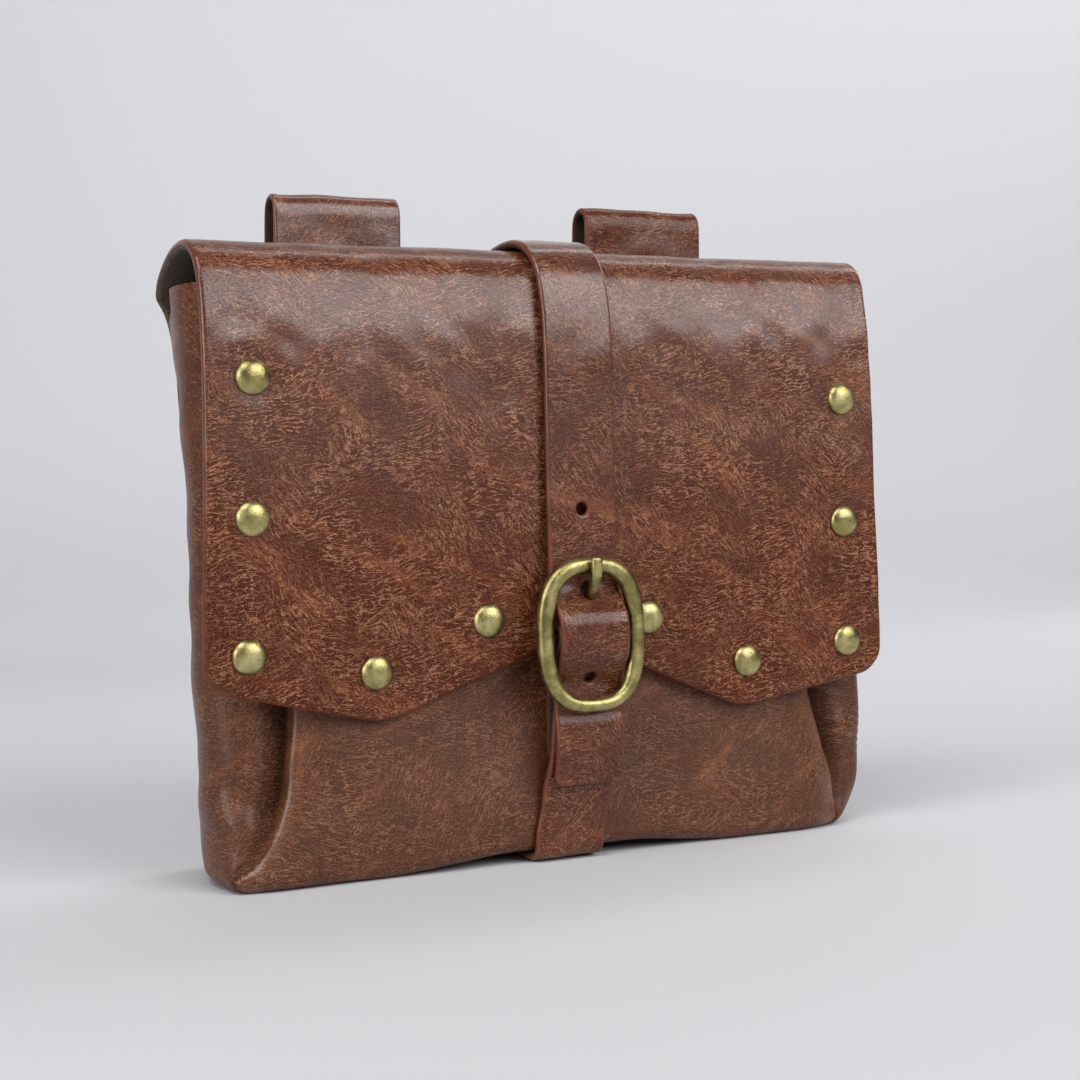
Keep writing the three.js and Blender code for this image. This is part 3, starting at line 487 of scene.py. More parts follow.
def fleshMaterial(name, low, high):
    # The suede back of the leather.
    material, tree, shader = newMaterial(name)
    flat = addNode(tree, "ShaderNodeAttribute", attribute_name="flat").outputs["Vector"]
    nap = noise(tree, flat, 1.2, 4, 0.65)
    colour = blend(tree, ramp(tree, nap, 0.3, 0.7), tone(*low), tone(*high))
    values = {"Base Color": colour, "Roughness": 0.92, "Normal": bump(tree, nap, 0.4)}
    setInputs(tree, shader, values)
    return material


def brassMaterial(name, low, high):
    # Aged brass: olive gold, darker and lighter in clouds, with fine dark specks.
    material, tree, shader = newMaterial(name)
    place = addNode(tree, "ShaderNodeTexCoord").outputs["Object"]
    cloud = noise(tree, place, 260, 4, 0.6)
    speck = noise(tree, place, 2200, 2, 0.6)
    colour = blend(tree, ramp(tree, cloud, 0.35, 0.7), tone(*low), tone(*high))
    colour = blend(tree, ramp(tree, speck, 0.58, 0.72, 0, 0.7), colour, tone(88, 78, 44))
    values = {
        "Base Color": colour,
        "Metallic": 1.0,
        "Roughness": ramp(tree, cloud, 0.3, 0.7, 0.3, 0.42),
        "Normal": bump(tree, speck, 0.3, 0.0002),
    }
    setInputs(tree, shader, values)
    return material


leather = leatherGroup(strokeGroup())
leathers = {  # sheen, veins, wrinkles, dullness and tan
    "flap": (1.0, 1.0, 0.2, 0.0, 0.0),
    "body": (0.2, 0.55, 0.15, 0.1, 0.4),
    "strap": (1.0, 0.7, 0.15, 0.0, 0.0),
    "loop": (0.8, 0.8, 0.6, 0.0, 0.0),
}
finishes = {
    **{key: leatherMaterial(key + "_leather", leather, *facts) for key, facts in leathers.items()},
    "flesh": fleshMaterial("flesh_side", (62, 50, 44), (98, 82, 72)),
    # The straps' flesh side is browner and darker than the flap's: painted shade where it faces the
    # light beside the buckle.
    "inner": fleshMaterial("strap_flesh_side", (44, 26, 18), (70, 44, 32)),
    "brass": brassMaterial("buckle_brass", (138, 128, 78), (186, 175, 120)),
    "rivet": brassMaterial("rivet_brass", (152, 141, 90), (200, 188, 136)),
}

# Back panel and flap

flap = {
    "leather": 2.4,
    "halfWidth": 90,
    "crest": 148,
    "rows": [  # depth, height, half width left, half width right
        (0, 4.4, 80.8, 81.2), (0, 30, 81.2, 81.8), (0, 60, 81.6, 82.4),
        (0, 90, 82.2, 83.4), (0, 110, 83.4, 84.6), (0, 128, 84.9, 86),
        (0, 133.9, 86.4, 87.4), (0.8, 137.6, 88.3, 88.8), (4, 141, 88.9, 89.3),
        (10, 144.4, 89.1, 89.5), (18.5, 147.1, 89.3, 89.6), (27, 148, 89.4, 89.4),
        (34, 147.1, 89.4, 89), (38.9, 144.4, 89.3, 88.2), (41.8, 141.1, 89.2, 87.4),
        (43.5, 136.4, 89.1, 86.9), (44.7, 127.3, 89, 87), (44.8, 112, 88.9, 87.6),
        (43.9, 85, 89.2, 88.6), (42.8, 62, 89.8, 89.9), (42.1, 46, 90, 90.5),
        (41.75, 34.8, 90, 90.6), (41.7, 26.6, 90, 90.6),
    ],
    "apex": 54,  # heights of the lower edge, and how far out its points are
    "point": 34.5,
    "pointReach": 47.6,
    "soft": 3.2,
    "corner": 43.5,
    "cornerRadius": 6,
    "skew": 0.032,
    "common": 118,  # above this height on the front the rows run straight across
    "backRows": (126, 3.2),  # length and step
    "bendStep": 1.2,
    "frontRows": 58,
    "frontFrom": (150, 190),
    "edgeRound": 1.1,
    "swell": (0.26, 5, 16, 60),  # height, seed, shortest and longest wave
    "fine": (0.07, 6, 7, 15),
    "bendSwell": (0.05, 7, 9, 16),
    "bendRow": 15,
    "dent": (-0.35, 0, 5.5),  # round each rivet: height, distance and reach
    "rim": (0.12, 8.5, 3),
    "strapX": 2,
    "strapFlat": (4, 13),
    "polish": (0.3, 0.85, 117, 27),  # least, more, its height and reach
}
flapRows = np.array(flap["rows"])
flapLine = sideLine(flapRows[:, :2])
flapRuns = flapLine["run"][::40]


def flapStraight(x):
    # Lower edge before the corners are rounded: two straight slopes with a soft point between.
    reach = np.abs(x)
    inward = (flap["point"] - flap["apex"]) / flap["pointReach"]
    outward = (flap["corner"] - flap["point"]) / (flap["halfWidth"] - flap["pointReach"])
    past = reach - flap["pointReach"]
    soft = np.hypot(past, flap["soft"])
    height = flap["point"] + (inward + outward) / 2 * past + (outward - inward) / 2 * soft
    return height - flap["skew"] * x


def buildFlap():
    common = runAtHeight(flapLine, flap["common"], True)
    radius, wide = flap["cornerRadius"], flap["halfWidth"]
    side = 1 - edgeSteps(wide - 1, 1.25) / wide
    shares = np.concatenate([-side, [0], side[::-1]])
    endX = shares * wide
    past = np.maximum(0, np.abs(endX) - (wide - radius))
    rise = radius - np.sqrt(np.maximum(0, radius**2 - past**2))
    end = runAtHeight(flapLine, flapStraight(endX) + rise, True)
    backEnd, backStep = flap["backRows"]
    bend = np.arange(backEnd + 1.5, common, flap["bendStep"])
    upper = np.concatenate([edgeSteps(backEnd, backStep), bend])
    near = edgeSteps(8, 4)[::-1]
    fall = np.linspace(0, 1, flap["frontRows"])[:, None]
    lower = common + (end - near[0] - common) * fall
    run = np.concatenate([np.repeat(upper[:, None], len(shares), 1), lower, end - near[1:, None]])
    rows, columns = run.shape
    flatRun = run.ravel()
    share = np.tile(shares, rows)
    half = readTable(flapRuns, flapRows[:, 2:], flatRun)
    width = np.where(share < 0, half[:, 0], half[:, 1])
    width = width + (half.mean(1) - width) * (1 - smooth(np.abs(share), 0, 0.5))
    x = share * width
    slope = np.gradient(end, endX)
    bottom = (np.tile(end, rows) - flatRun) / np.hypot(1, np.tile(slope, rows))
    cornerRun = runAtHeight(flapLine, flapStraight(np.sign(x) * wide) + radius, True)
    beyond = np.maximum(0, np.abs(share) * wide - (wide - radius))
    roundEdge = radius - np.hypot(beyond, flatRun - cornerRun)
    inCorner = (beyond > 0) & (flatRun > cornerRun)
    edge = np.minimum(np.minimum(bottom, width * (1 - np.abs(share))), flatRun)
    edge = np.maximum(0, np.where(inCorner, np.minimum(roundEdge, edge), edge))
    sway = ripple(x, flatRun, *flap["swell"]) + ripple(x, flatRun, *flap["fine"])
    atBend = hump(flatRun, flapRuns[flap["bendRow"]], 16)
    sway = sway + ripple(x, flatRun, *flap["bendSwell"]) * atBend
    for rivet in flapRivets:
        away = np.hypot(x - rivet["x"], flatRun - rivet["run"])
        for height, distance, reach in (flap["dent"], flap["rim"]):
            sway = sway + height * hump(away, distance, reach)
    beside = smooth(np.abs(x - flap["strapX"]), *flap["strapFlat"])
    sway = sway * smooth(flatRun, *flap["frontFrom"]) * beside
    y, z = onLine(flapLine, flatRun, sway - flap["leather"] / 2)
    middle = np.stack([x, y, z], 1)
    half = rounded(edge, flap["leather"], flap["edgeRound"])
    flat = np.stack([x, flatRun], 1)
    least, more, height, reach = flap["polish"]
    makeShell(
        "back_and_flap_leather", middle, gridQuads(rows, columns), half, flat, edge,
        (0, least + more * hump(z, height, reach)),
        [finishes["flap"], finishes["flesh"]], ["back_and_flap"],
    )


def rivetRow(sign, reach, height):
    x = sign * reach * flap["halfWidth"]
    return {"x": x, "run": runAtHeight(flapLine, height * flap["crest"] - flap["skew"] * x, True)}


flapRivetTable = {  # shares of the half width and of the crest's height
    "top": (0.864, 0.766),
    "side": (0.872, 0.554),
    "corner": (0.886, 0.346),
    "point": (0.551, 0.3155),
    "inner": (0.238, 0.393),
}
flapRivets = [
    {"name": f"flap_rivet_{side}_{place}", **rivetRow(sign, *spot)}
    for side, sign in (("left", -1), ("right", 1))
    for place, spot in flapRivetTable.items()
]
buildFlap()

# Body: front panel, gussets with their folds, and the bottom

body = {
    "leather": 1.4,
    "seamY": backFace - 2.7,
    "heights": [0, 3, 6, 10, 15, 22, 32, 46, 60, 90, 115, 138],
    "front": [18.7, 18.8, 18.8, 18.7, 18.4, 17.6, 16.6, 15.7, 15.3, 15.3, 15.3, 15.3],
    # seamX, bulgeX, bulgeY, shoulderX, shoulderY, lipX, lipY, creaseX, creaseY, ridgeX, ridgeY
    "left": [
        (80, 84.5, -2, 84.5, -10, 84, -14.5, 83, -16.6, 80, -18.2),
        (80.6, 86, -2, 85.2, -11, 84.6, -14, 83.5, -16, 80, -18.4),
        (81, 86.4, -2, 85.4, -11, 83, -14.8, 79.6, -15.6, 76.6, -18.5),
        (81, 86.5, -2, 85.2, -10.5, 81, -14.8, 76.3, -14.8, 74, -18.5),
        (81, 86.6, -2, 84.8, -10, 79.6, -14.4, 73.8, -14.2, 71.8, -18.1),
        (81, 86.8, -1.5, 84.6, -9.5, 78.2, -13.8, 71.4, -13.4, 69.6, -17.4),
        (81, 86.8, -1, 84.4, -9, 77, -13.1, 69.6, -12.6, 68, -16.5),
        (81, 87.1, 0, 84.2, -8.5, 76, -12.2, 68.6, -11.8, 66.8, -15.4),
        (81, 87.3, 0.5, 84.6, -8, 77.5, -12.2, 70.5, -12, 68.6, -15),
        (81.5, 87.4, 0.5, 86, -7, 81, -12.2, 76, -12.6, 73, -15),
        (83, 88.6, 1, 87, -7, 84, -11.5, 80.5, -13.4, 77, -15),
        (85.5, 89, 2, 88, -7, 86, -11, 84, -13.6, 80.5, -15),
    ],
    "right": [
        (80, 84.6, -4.5, 82.6, -10.6, 79.6, -15, 77.2, -16.2, 75.4, -17.6),
        (80.6, 86.6, -4.5, 84.6, -10.6, 80.8, -14.6, 77.8, -15.4, 76.2, -17.6),
        (81, 88.2, -4.5, 86.4, -10.4, 81.8, -13.6, 78.4, -14, 77.2, -17.2),
        (81, 89.6, -4.2, 87.9, -10.2, 82.6, -12.8, 78.4, -12.8, 78, -16.9),
        (81, 90.6, -4, 88.7, -10, 83, -12, 78, -12, 77.9, -16.7),
        (81, 91.2, -3.8, 89.3, -9.7, 82.4, -11.4, 76.6, -11, 76.6, -16.3),
        (81, 91.6, -3.5, 89.8, -9.4, 81.4, -10.8, 74, -10.2, 73.6, -15.6),
        (81, 91.5, -3, 89.4, -9, 80, -11, 72.5, -10.2, 70.8, -14.6),
        (81, 90.4, -2, 88.2, -8.8, 81, -11.6, 74.5, -11.6, 72.5, -14.8),
        (82, 89, 0, 87.5, -8.3, 82.5, -12.2, 77.5, -12.6, 74.5, -15),
        (84, 88.5, 1, 87, -7.5, 84, -11.8, 80.5, -13.4, 77.5, -15),
        (86, 88.5, 2, 87.5, -7, 86, -11, 84, -13.4, 80.5, -15),
    ],
    "dip": (1.7, 4, 22),  # how far the crease comes forward, between which heights
    "climb": (0.38, 0.76),  # from the crease to the panel's ridge: shares of the depth
    "inward": (0.9, 3.4, 9),
    "panel": (0.6, 0.4, 0.2),
    "perSpan": 13,
    "roll": 3.6,
    "coreX": (-72, 72),
    "coreY": (-9, 12),
    "border": 9,
    "top": 138,
    "seamDrop": 6,
    "frontTop": 127,
    "lift": 2.4,
    "liftReach": (13, 50),
    "leftLift": (-60, 12),
    "panelFrom": (9, 13.5),  # forward and to the side, where the top edge drops to the panel's
    "panelTo": (72, 86),
    "stand": [(0, 0.8, 0.8), (0, 1, 2.4), (0, 1, 5), (0, 1, 8.5)],
    "frontSwell": (0.2, 11, 14, 50),
    "sideSwell": (0.25, 12, 10, 30),
    "dent": {  # a soft dent down across the left gusset, with a swelling under it
        "x": -80, "z": 21, "lean": (0.62, 0.78), "from": (70, 75),
        "waves": [(-1.0, 0, 2.6, 7), (0.6, -5.5, 3, 8)],  # height, middle, reach across and along
    },
    "pucker": {"height": 0.2, "length": 2.1, "z": (23, 6.5), "x": (87, 4), "y": -17},
    "swelling": {"height": 1.0, "z": (25, 4), "x": (82, 5), "y": (-14.5, 0)},
    "valley": (9, 3.5),  # columns over which the crease's shade fades: gusset and panel side
    "valleyDark": 0.8,
    "ridge": (20, 9),
    # How pale the crease's ridge is: rubbing and painted highlight.
    "ridgeRubAndHighlight": 0.16,
    "ridgeBelow": (34, 46),
}


def buildBody():
    fine = np.array([0, 0.06, 0.22, 0.5, 0.9, 1.4, 2, 2.7])
    heights = np.concatenate([fine, np.arange(3.4, 58, 0.68), np.linspace(58.5, body["top"], 26)])
    front = readTable(body["heights"], np.array(body["front"])[:, None], heights)[:, 0]

    def sideOf(key, sign):
        columns = readTable(body["heights"], body[key], heights).T
        creaseX, creaseY, ridgeX, ridgeY = columns[7:]
        dip, low, high = body["dip"]
        ys = [np.full(len(heights), body["seamY"]), *columns[2:8:2]]
        ys += [creaseY + dip * smooth(heights, low, high)]
        ys += [creaseY + share * (ridgeY - creaseY) for share in body["climb"]] + [-front] * 4
        xs = [*columns[[0, 1, 3, 5, 7]], *(creaseX - inward for inward in body["inward"])]
        xs += [ridgeX * share for share in body["panel"]]
        return np.stack([np.stack([sign * x, y], 1) for x, y in zip(xs, ys)], 1)

    centre = np.stack([np.zeros(len(heights)), -front], 1)[:, None]
    plan = np.concatenate([sideOf("left", -1), centre, sideOf("right", 1)[:, ::-1]], 1)
    ring = through(plan, body["perSpan"])
    flangeColumns = 4
    flange = np.linspace(body["border"], 0.4, flangeColumns)[:, None] * [1, 0]
    left = ring[:, :1] + flange
    right = ring[:, -1:] - flange[::-1]
    ring = np.concatenate([left, ring, right], 1)
    z = np.repeat(heights[:, None], ring.shape[1], 1)
    # The lower edge rolls in towards the middle of the body.
    core = [np.clip(ring[..., k], *body[key]) for k, key in enumerate(("coreX", "coreY"))]
    core = np.stack(core, -1)
    inward = unit(core - ring)
    roll = body["roll"]
    below = np.maximum(0, roll - z)
    ring = ring + inward * (roll - np.sqrt(np.maximum(0, roll**2 - below**2)))[..., None]
    x, y = ring[..., 0], ring[..., 1]
    lift = body["lift"] * (1 - smooth(np.abs(x + 1), *body["liftReach"]))
    lift = lift + 0.25 * hump(x, *body["leftLift"])
    towardSeam = 1 - smooth(body["seamY"] - y, 0, 13)
    isFront = smooth(-y, *body["panelFrom"]) * (1 - smooth(np.abs(x), *body["panelTo"]))
    top = body["top"] - body["seamDrop"] * towardSeam
    top = top + (body["frontTop"] - top) * isFront
    z = lift + z / body["top"] * (top - lift)
    wall = np.stack([x, y, z], -1)[::-1]
    rows, columns = wall.shape[:2]
    # The bottom runs back to the seam, then a border stands up against the back panel.
    low = wall[-1]
    first, last = flangeColumns, columns - 1 - flangeColumns
    seamX = np.linspace(low[first, 0] + 1.5, low[last, 0] - 1.5, columns)
    seamY = np.full(columns, body["seamY"] - 1)
    seamZ = 0.4 + body["lift"] * (1 - smooth(np.abs(seamX), *body["liftReach"]))
    bottomBack = np.stack([seamX, seamY, seamZ], 1)
    share = np.linspace(0, 1, 12)[1:, None, None]
    bottom = low + (bottomBack - low) * share
    stand = bottomBack + np.array(body["stand"])[:, None]
    points = np.concatenate([wall, bottom, stand])
    total = len(points)
    quads = gridQuads(total, columns)
    r, c = np.divmod(quads[:, 0], columns)
    flangeCell = (c < first) | (c > last - 1)
    highWall = (r < rows - 1) & (wall[np.minimum(r, rows - 1), 0, 2] > 10)
    quads = quads[~flangeCell | highWall]
    points = points.reshape(-1, 3)
    facing = normalsOf(points, quads)
    x, y, z = points.T
    shown = np.repeat(np.arange(total) < rows, columns)
    frontal = smooth(-y, 13, 16.5)
    sway = ripple(x, z, *body["frontSwell"]) * frontal
    sway = sway + ripple(y, z, *body["sideSwell"]) * (1 - frontal)
    dent = body["dent"]
    fromX, fromZ, (cosine, sine) = x - dent["x"], z - dent["z"], dent["lean"]
    across, along = fromX * cosine + fromZ * sine, fromX * sine - fromZ * cosine
    for height, dentMiddle, wide, long in dent["waves"]:
        wave = height * hump(across, dentMiddle, wide) * hump(along, 0, long)
        sway = sway + wave * smooth(-x, *dent["from"])
    # Short puckers where the right gusset and the front panel meet.
    pucker, swelling = body["pucker"], body["swelling"]
    wave = np.cos(z * 2 * np.pi / pucker["length"] + 1.3 * np.sin(x * 0.7))
    wave = pucker["height"] * wave * hump(z, *pucker["z"]) * hump(x, *pucker["x"])
    sway = sway + wave * (y > pucker["y"])
    wave = swelling["height"] * hump(z, *swelling["z"]) * hump(x, *swelling["x"])
    sway = sway + wave * (y > swelling["y"][0]) * (y < swelling["y"][1])
    sway = sway * shown * smooth(z, 0.2, 3)
    middle = points + facing * (sway - body["leather"] / 2)[:, None]
    half = np.full(len(points), body["leather"] / 2)
    flat = np.stack([x + np.sign(x) * np.maximum(0, y + 16) * 0.8, z], 1)
    # Painted shade: the crease is darkest in its valley and fades slowly over the gusset. Its ridge
    # is paler, from rubbing and from a painted highlight.
    column, crease = np.arange(columns), first + 4 * body["perSpan"]
    inward = np.minimum(column - crease, columns - 1 - crease - column)
    valley = np.tile(hump(inward, 0, np.where(inward < 0, *body["valley"])), total)
    valley = valley * (0.55 + 0.45 * smooth(z, 5, 24))
    ridge = np.tile(hump(inward, *body["ridge"]), total) * (1 - smooth(z, *body["ridgeBelow"]))
    shadeAndHighlight = body["valleyDark"] * valley - body["ridgeRubAndHighlight"] * ridge * (1 - valley)
    makeShell(
        "pouch_body_leather", middle, quads, half, flat, np.full(len(points), 5.0),
        (shadeAndHighlight, 1 + 2 * ridge),
        [finishes["body"], finishes["flesh"]], ["pouch_body"], 55,
    )


buildBody()

# Straps and belt loops: long strips bent along a side line


def buildStrip(name, spec, finish, nodes):
    # side is 1 where the line's outward side is the grain side, and patch moves the pattern.
    line = sideLine(spec["line"])
    length = line["run"][-1]
    ends = bothWays(edgeSteps(length / 2, spec["step"]))
    halfWide = spec["width"] / 2
    side = bothWays(edgeSteps(halfWide, spec["across"])) - halfWide
    rows, columns = len(ends), len(side)
    x, run = np.tile(side, rows), np.repeat(ends, columns)
    flat = np.stack([x, run], 1)
    quads = gridQuads(rows, columns)
    holeEdge = np.full(len(flat), 50.0)
    for hole in spec.get("holes", []):
        centre = np.array([hole["x"], runAtHeight(line, hole["height"], True)])
        radii = np.array(hole["radii"])
        flat, quads = punch(flat, quads, rows, columns, centre, radii, *hole["block"])
        away = np.linalg.norm((flat - centre) / radii, axis=1) - 1
        holeEdge = np.append(holeEdge, np.full(len(flat) - len(holeEdge), 50.0))
        holeEdge = np.minimum(holeEdge, away * radii.min())
    x, run = flat.T
    edge = np.minimum(np.minimum(halfWide - np.abs(x), run), length - run)
    edge = np.maximum(0, np.minimum(edge, holeEdge))
    # The ends' corners are drawn in to quarter rounds.
    corner = spec["corner"]
    deep = np.clip(1 - np.minimum(run, length - run) / corner, 0, 1)
    shrink = (corner - corner * np.sqrt(np.maximum(0, 1 - deep**2))) / halfWide
    x = x * (1 - shrink)
    drift = np.interp(run, *spec["drift"])
    sway = ripple(x, run, spec["sway"], spec["seed"], 9, 30)
    cup = -spec["cup"] * (np.abs(x) / halfWide) ** 3
    side = spec["side"]
    y, z = onLine(line, run, side * (sway + cup) * smooth(edge, 0, 3))
    middle = np.stack([spec["x"] + drift + x, y, z], 1)
    quads = quads if side > 0 else quads[:, ::-1]
    half = rounded(edge, spec["leather"], spec["leather"] * 0.42)
    flat = np.stack([x + spec["x"] + spec["patch"], run], 1)
    # Painted shade round the holes.
    holeDark = 0.5 * (1 - smooth(holeEdge, 0.1, 0.5))
    polish = (0.6 + 0.4 * smooth(z, 70, 110)) * spec["polish"]
    makeShell(
        name, middle, quads, half, flat, edge, (holeDark, polish),
        [finish, finishes["inner"]], nodes,
    )


def alongSheet(rise, top, low, count):
    # Points that follow the flap's side line at a distance, from the back over to the front.
    start, end = runAtHeight(flapLine, top, False), runAtHeight(flapLine, low, True)
    run = np.linspace(start, end, count)
    onFlap = smooth(run, 150, 185)
    y, z = onLine(flapLine, run, rise + 0.9 * onFlap)
    return list(zip(backFace - y, z))


buckleZ = 54.5
strap = {"width": 18, "x": 1.6, "sway": 0.1, "cup": 0.15, "polish": 1}
closing = {
    **strap,
    "leather": 2,
    "line": alongSheet(1.3, 100, 95.2, 30) + [
        (46.4, 76.1), (46.4, 69.5), (46.7, 65.5), (49, 62), (51.5, 58.7), (51.9, 54.5),
        (51.2, 50.3), (48.7, 46.8), (46.6, 43.2), (46.4, 39.5), (46.4, 35.9), (47.1, 32.5),
        (46.6, 25.3), (45.1, 18.5),
    ],
    "step": 0.8, "across": 0.7, "side": 1, "seed": 21, "patch": 300, "corner": 2.5,
    "drift": (
        (0, 15, 62, 100, 160, 200, 260, 275, 300),
        (0, 0, -1.4, -0.3, 0, 0.6, 0.9, 1.0, 0.2),
    ),
    "holes": [
        {"height": 84.7, "radii": (1.5, 1.5), "block": (4, 3), "x": 0},
        {"height": 64.8, "radii": (1.8, 2.6), "block": (6, 4), "x": 0.7},
        {"height": 44.7, "radii": (1.5, 1.5), "block": (4, 3), "x": 0},
    ],
}
buildStrip("closing_strap_leather", closing, finishes["strap"], ["closing_strap"])

turn = np.linspace(-0.1, 1.05, 7) * np.pi
lowerStrap = {
    **strap,
    "leather": 1.7,
    "line": [
        (-1.15, 30), (-1.15, 15), (-1.15, 5), (-0.46, 2.08), (1.6, 1.54), (4.8, 1.1),
        (20.6, 1.1), (36.4, 1.1), (41.5, 2.08), (42.35, 6), (42.35, 13.5), (42.9, 18.9),
        (44.25, 24.5), (44.25, 28.6), (44.25, 39.2), (44.25, 42.85), (44.8, 46.2), (46.8, 49.5),
        *zip(47.3 + 2.45 * np.cos(turn), buckleZ + 2.45 * np.sin(turn)),
        (43.3, 46.2), (42.25, 37.9), (42.25, 28.6), (42.25, 24.5),
    ],
    "step": 0.9, "across": 0.8, "side": -1, "seed": 31, "patch": 500, "corner": 2,
    "drift": (
        (0, 25, 66, 76, 82, 87, 95, 107, 114, 122, 160),
        (0, -0.5, -3.6, -3, -1.5, -1, 0.3, 1.6, 1.2, 0.7, 0.6),
    ),
}
buildStrip("buckle_strap_leather", lowerStrap, finishes["strap"], ["buckle_strap"])

fold = np.linspace(1, 0, 7) * np.pi
loopLine = [
    (-1.1, 78), (-1.1, 94), (-1.1, 127.4), (-1.1, 157.3),
    *zip(-1.1 - 3.45 * (1 + np.cos(fold)), 160.75 + 3.45 * np.sin(fold)),
    (-8, 140.7), (-8, 124), (-5.75, 111.4), (-3, 99.6), (-3, 94), (-3, 84), (-3, 78),
]
loops = {
    "left": {"x": -42.9, "width": 33.4, "seed": 41, "lean": 1.8, "polish": 1.5},
    "right": {"x": 43.9, "width": 35, "seed": 42, "lean": 1.9, "polish": 0.5},
}
for side, loop in loops.items():
    lean = loop["lean"]
    spec = {
        **loop,
        "leather": 1.6,
        "line": loopLine,
        "step": 1.0,
        "across": 1.0,
        "side": -1,
        "patch": 700 + loop["x"],
        "corner": 2,
        "sway": 0.16,
        "cup": 0.1,
        "drift": ((0, 20, 78, 90, 150, 180), (0, 0.1, lean, lean, 0.1, 0)),
    }
    node = f"belt_loop_{side}"
    buildStrip(node + "_leather", spec, finishes["loop"], [node])

# Brass


def turned(out):
    # Axes with the third along a direction.
    out = unit(np.asarray(out, float))
    first = unit(np.cross([1.0, 0, 0] if abs(out[0]) < 0.9 else [0, 0, 1.0], out))
    return np.stack([first, np.cross(out, first), out], 1)


def lathe(profile, place, out, around=56):
    # Closed solid of revolution: profile of (radius, height) from the top pole to the lower pole.
    radius, height = np.array(profile, float).T
    angle = np.arange(around) / around * 2 * np.pi
    radius, level = radius[1:-1, None], np.repeat(height[1:-1, None], around, 1)
    rings = np.stack([radius * np.cos(angle), radius * np.sin(angle), level], -1).reshape(-1, 3)
    poles = np.array([[0, 0, height[0]], [0, 0, height[-1]]])
    points = np.concatenate([rings, poles]) @ turned(out).T + place
    count = len(profile) - 2
    index = np.arange(count * around).reshape(count, around)
    quads = ringQuads(index[:-1], index[1:])
    first, last = index[0], index[-1]
    top = np.stack([np.full(around, len(rings)), first, np.roll(first, -1)], 1)
    low = np.stack([np.full(around, len(rings) + 1), np.roll(last, -1), last], 1)
    return points, [quads, np.concatenate([top, low])]


def domeProfile(radius, rim, dome, seat, behind, backRadius):
    # A cap of revolution over a post and a flat back cap.
    bow = np.sin(np.linspace(0, 0.5, 14) * np.pi)
    rise = seat + rim + dome * (1 - bow**2.3) ** 0.62
    side, post = radius * 1.004, 1.5
    profile = [(0, rise[0])] + list(zip(bow[1:-1] * radius, rise[1:-1]))
    profile += [(side, seat + rim), (side, seat + 0.12), (radius * 0.97, seat), (post, seat)]
    profile += [(post, -behind), (backRadius, -behind), (backRadius, -behind - 0.5)]
    return profile + [(backRadius * 0.93, -behind - 0.7), (0, -behind - 0.7)]


def makeRivet(name, place, out, behind, cap):
    radius, rim, dome, backRadius = cap
    points, faces = lathe(domeProfile(radius, rim, dome, 0.02, behind, backRadius), place, out)
    makePiece(name + "_brass", points, faces, [finishes["rivet"]], [name], sharp=50)


domed = (4, 0.35, 1.75, 3.6)  # radius, rim, dome, and radius of the cap behind
for rivet in flapRivets:
    run = rivet["run"]
    y, z = onLine(flapLine, run, -0.32)
    outY, outZ = (np.interp(run, flapLine["run"], flapLine["out"][:, k]) for k in (0, 1))
    makeRivet(rivet["name"], np.array([rivet["x"], y, z]), (0, outY, outZ), 2.5, domed)
backRivets = {  # x, distance behind the back panel, height, and length of the post
    **{
        f"loop_rivet_{side}_{place}": (loop["x"], 3.85, height, 6.5)
        for side, loop in loops.items()
        for place, height in (("lower", 84.2), ("upper", 94.2))
    },
    "closing_strap_rivet": (1.6, 2.35, 107.2, 5.0),
    "buckle_strap_rivet": (1.2, 2.05, 23.2, 4.7),
}
for name, (x, behind, height, post) in backRivets.items():
    makeRivet(name, np.array([x, backFace + behind, height]), (0, 1, 0), post, domed)
flatCap = (3, 0.3, 0.45, 3)
makeRivet("strap_return_rivet", np.array([2.2, backFace - 45.1, 28.8]), (0, -1, 0), 3.7, flatCap)


def sweep(path, across, outward, halfAcross, halfOut, power, sides, closed):
    # A bar along a path: each ring is a squared oval in the plane of across and outward.
    angle = (np.arange(sides) + 0.5) / sides * 2 * np.pi
    across, outward = (np.broadcast_to(way, path.shape)[:, None] for way in (across, outward))
    count = len(path)
    wide, tall = (np.broadcast_to(v, count)[:, None, None] for v in (halfAcross, halfOut))
    a, b = squared(np.cos(angle), power)[:, None], squared(np.sin(angle), power)[:, None]
    rings = path[:, None] + across * (a * wide) + outward * (b * tall)
    index = np.arange(count * sides).reshape(count, sides)
    after = np.roll(index, -1, 0) if closed else index[1:]
    quads = ringQuads(index if closed else index[:-1], after)
    points = rings.reshape(-1, 3)
    if closed:
        return points, [quads]
    points = np.concatenate([points, path[[0, -1]]])
    first, last = index[0], index[-1]
    start = np.stack([np.full(sides, len(points) - 2), first, np.roll(first, -1)], 1)
    end = np.stack([np.full(sides, len(points) - 1), np.roll(last, -1), last], 1)
    return points, [quads, np.concatenate([start, end])]


def outwardFaces(points, faceSets):
    # Turns all faces round if the solid they enclose comes out negative.
    volume = 0
    for faces in faceSets:
        for k in range(1, faces.shape[1] - 1):
            a, b, c = points[faces[:, 0]], points[faces[:, k]], points[faces[:, k + 1]]
            volume += np.einsum("ij,ij->i", a, np.cross(b, c)).sum()
    return faceSets if volume > 0 else [faces[:, ::-1] for faces in faceSets]


def joined(*solids):
    # Several closed solids as one set of points and faces.
    points, quads, tris, offset = [], [], [], 0
    for some, faceSets in solids:
        for faces in outwardFaces(some - some.mean(0), faceSets):
            (quads if faces.shape[1] == 4 else tris).append(faces + offset)
        points.append(some)
        offset += len(some)
    sets = [np.concatenate(kind) for kind in (quads, tris) if kind]
    return np.concatenate(points), sets


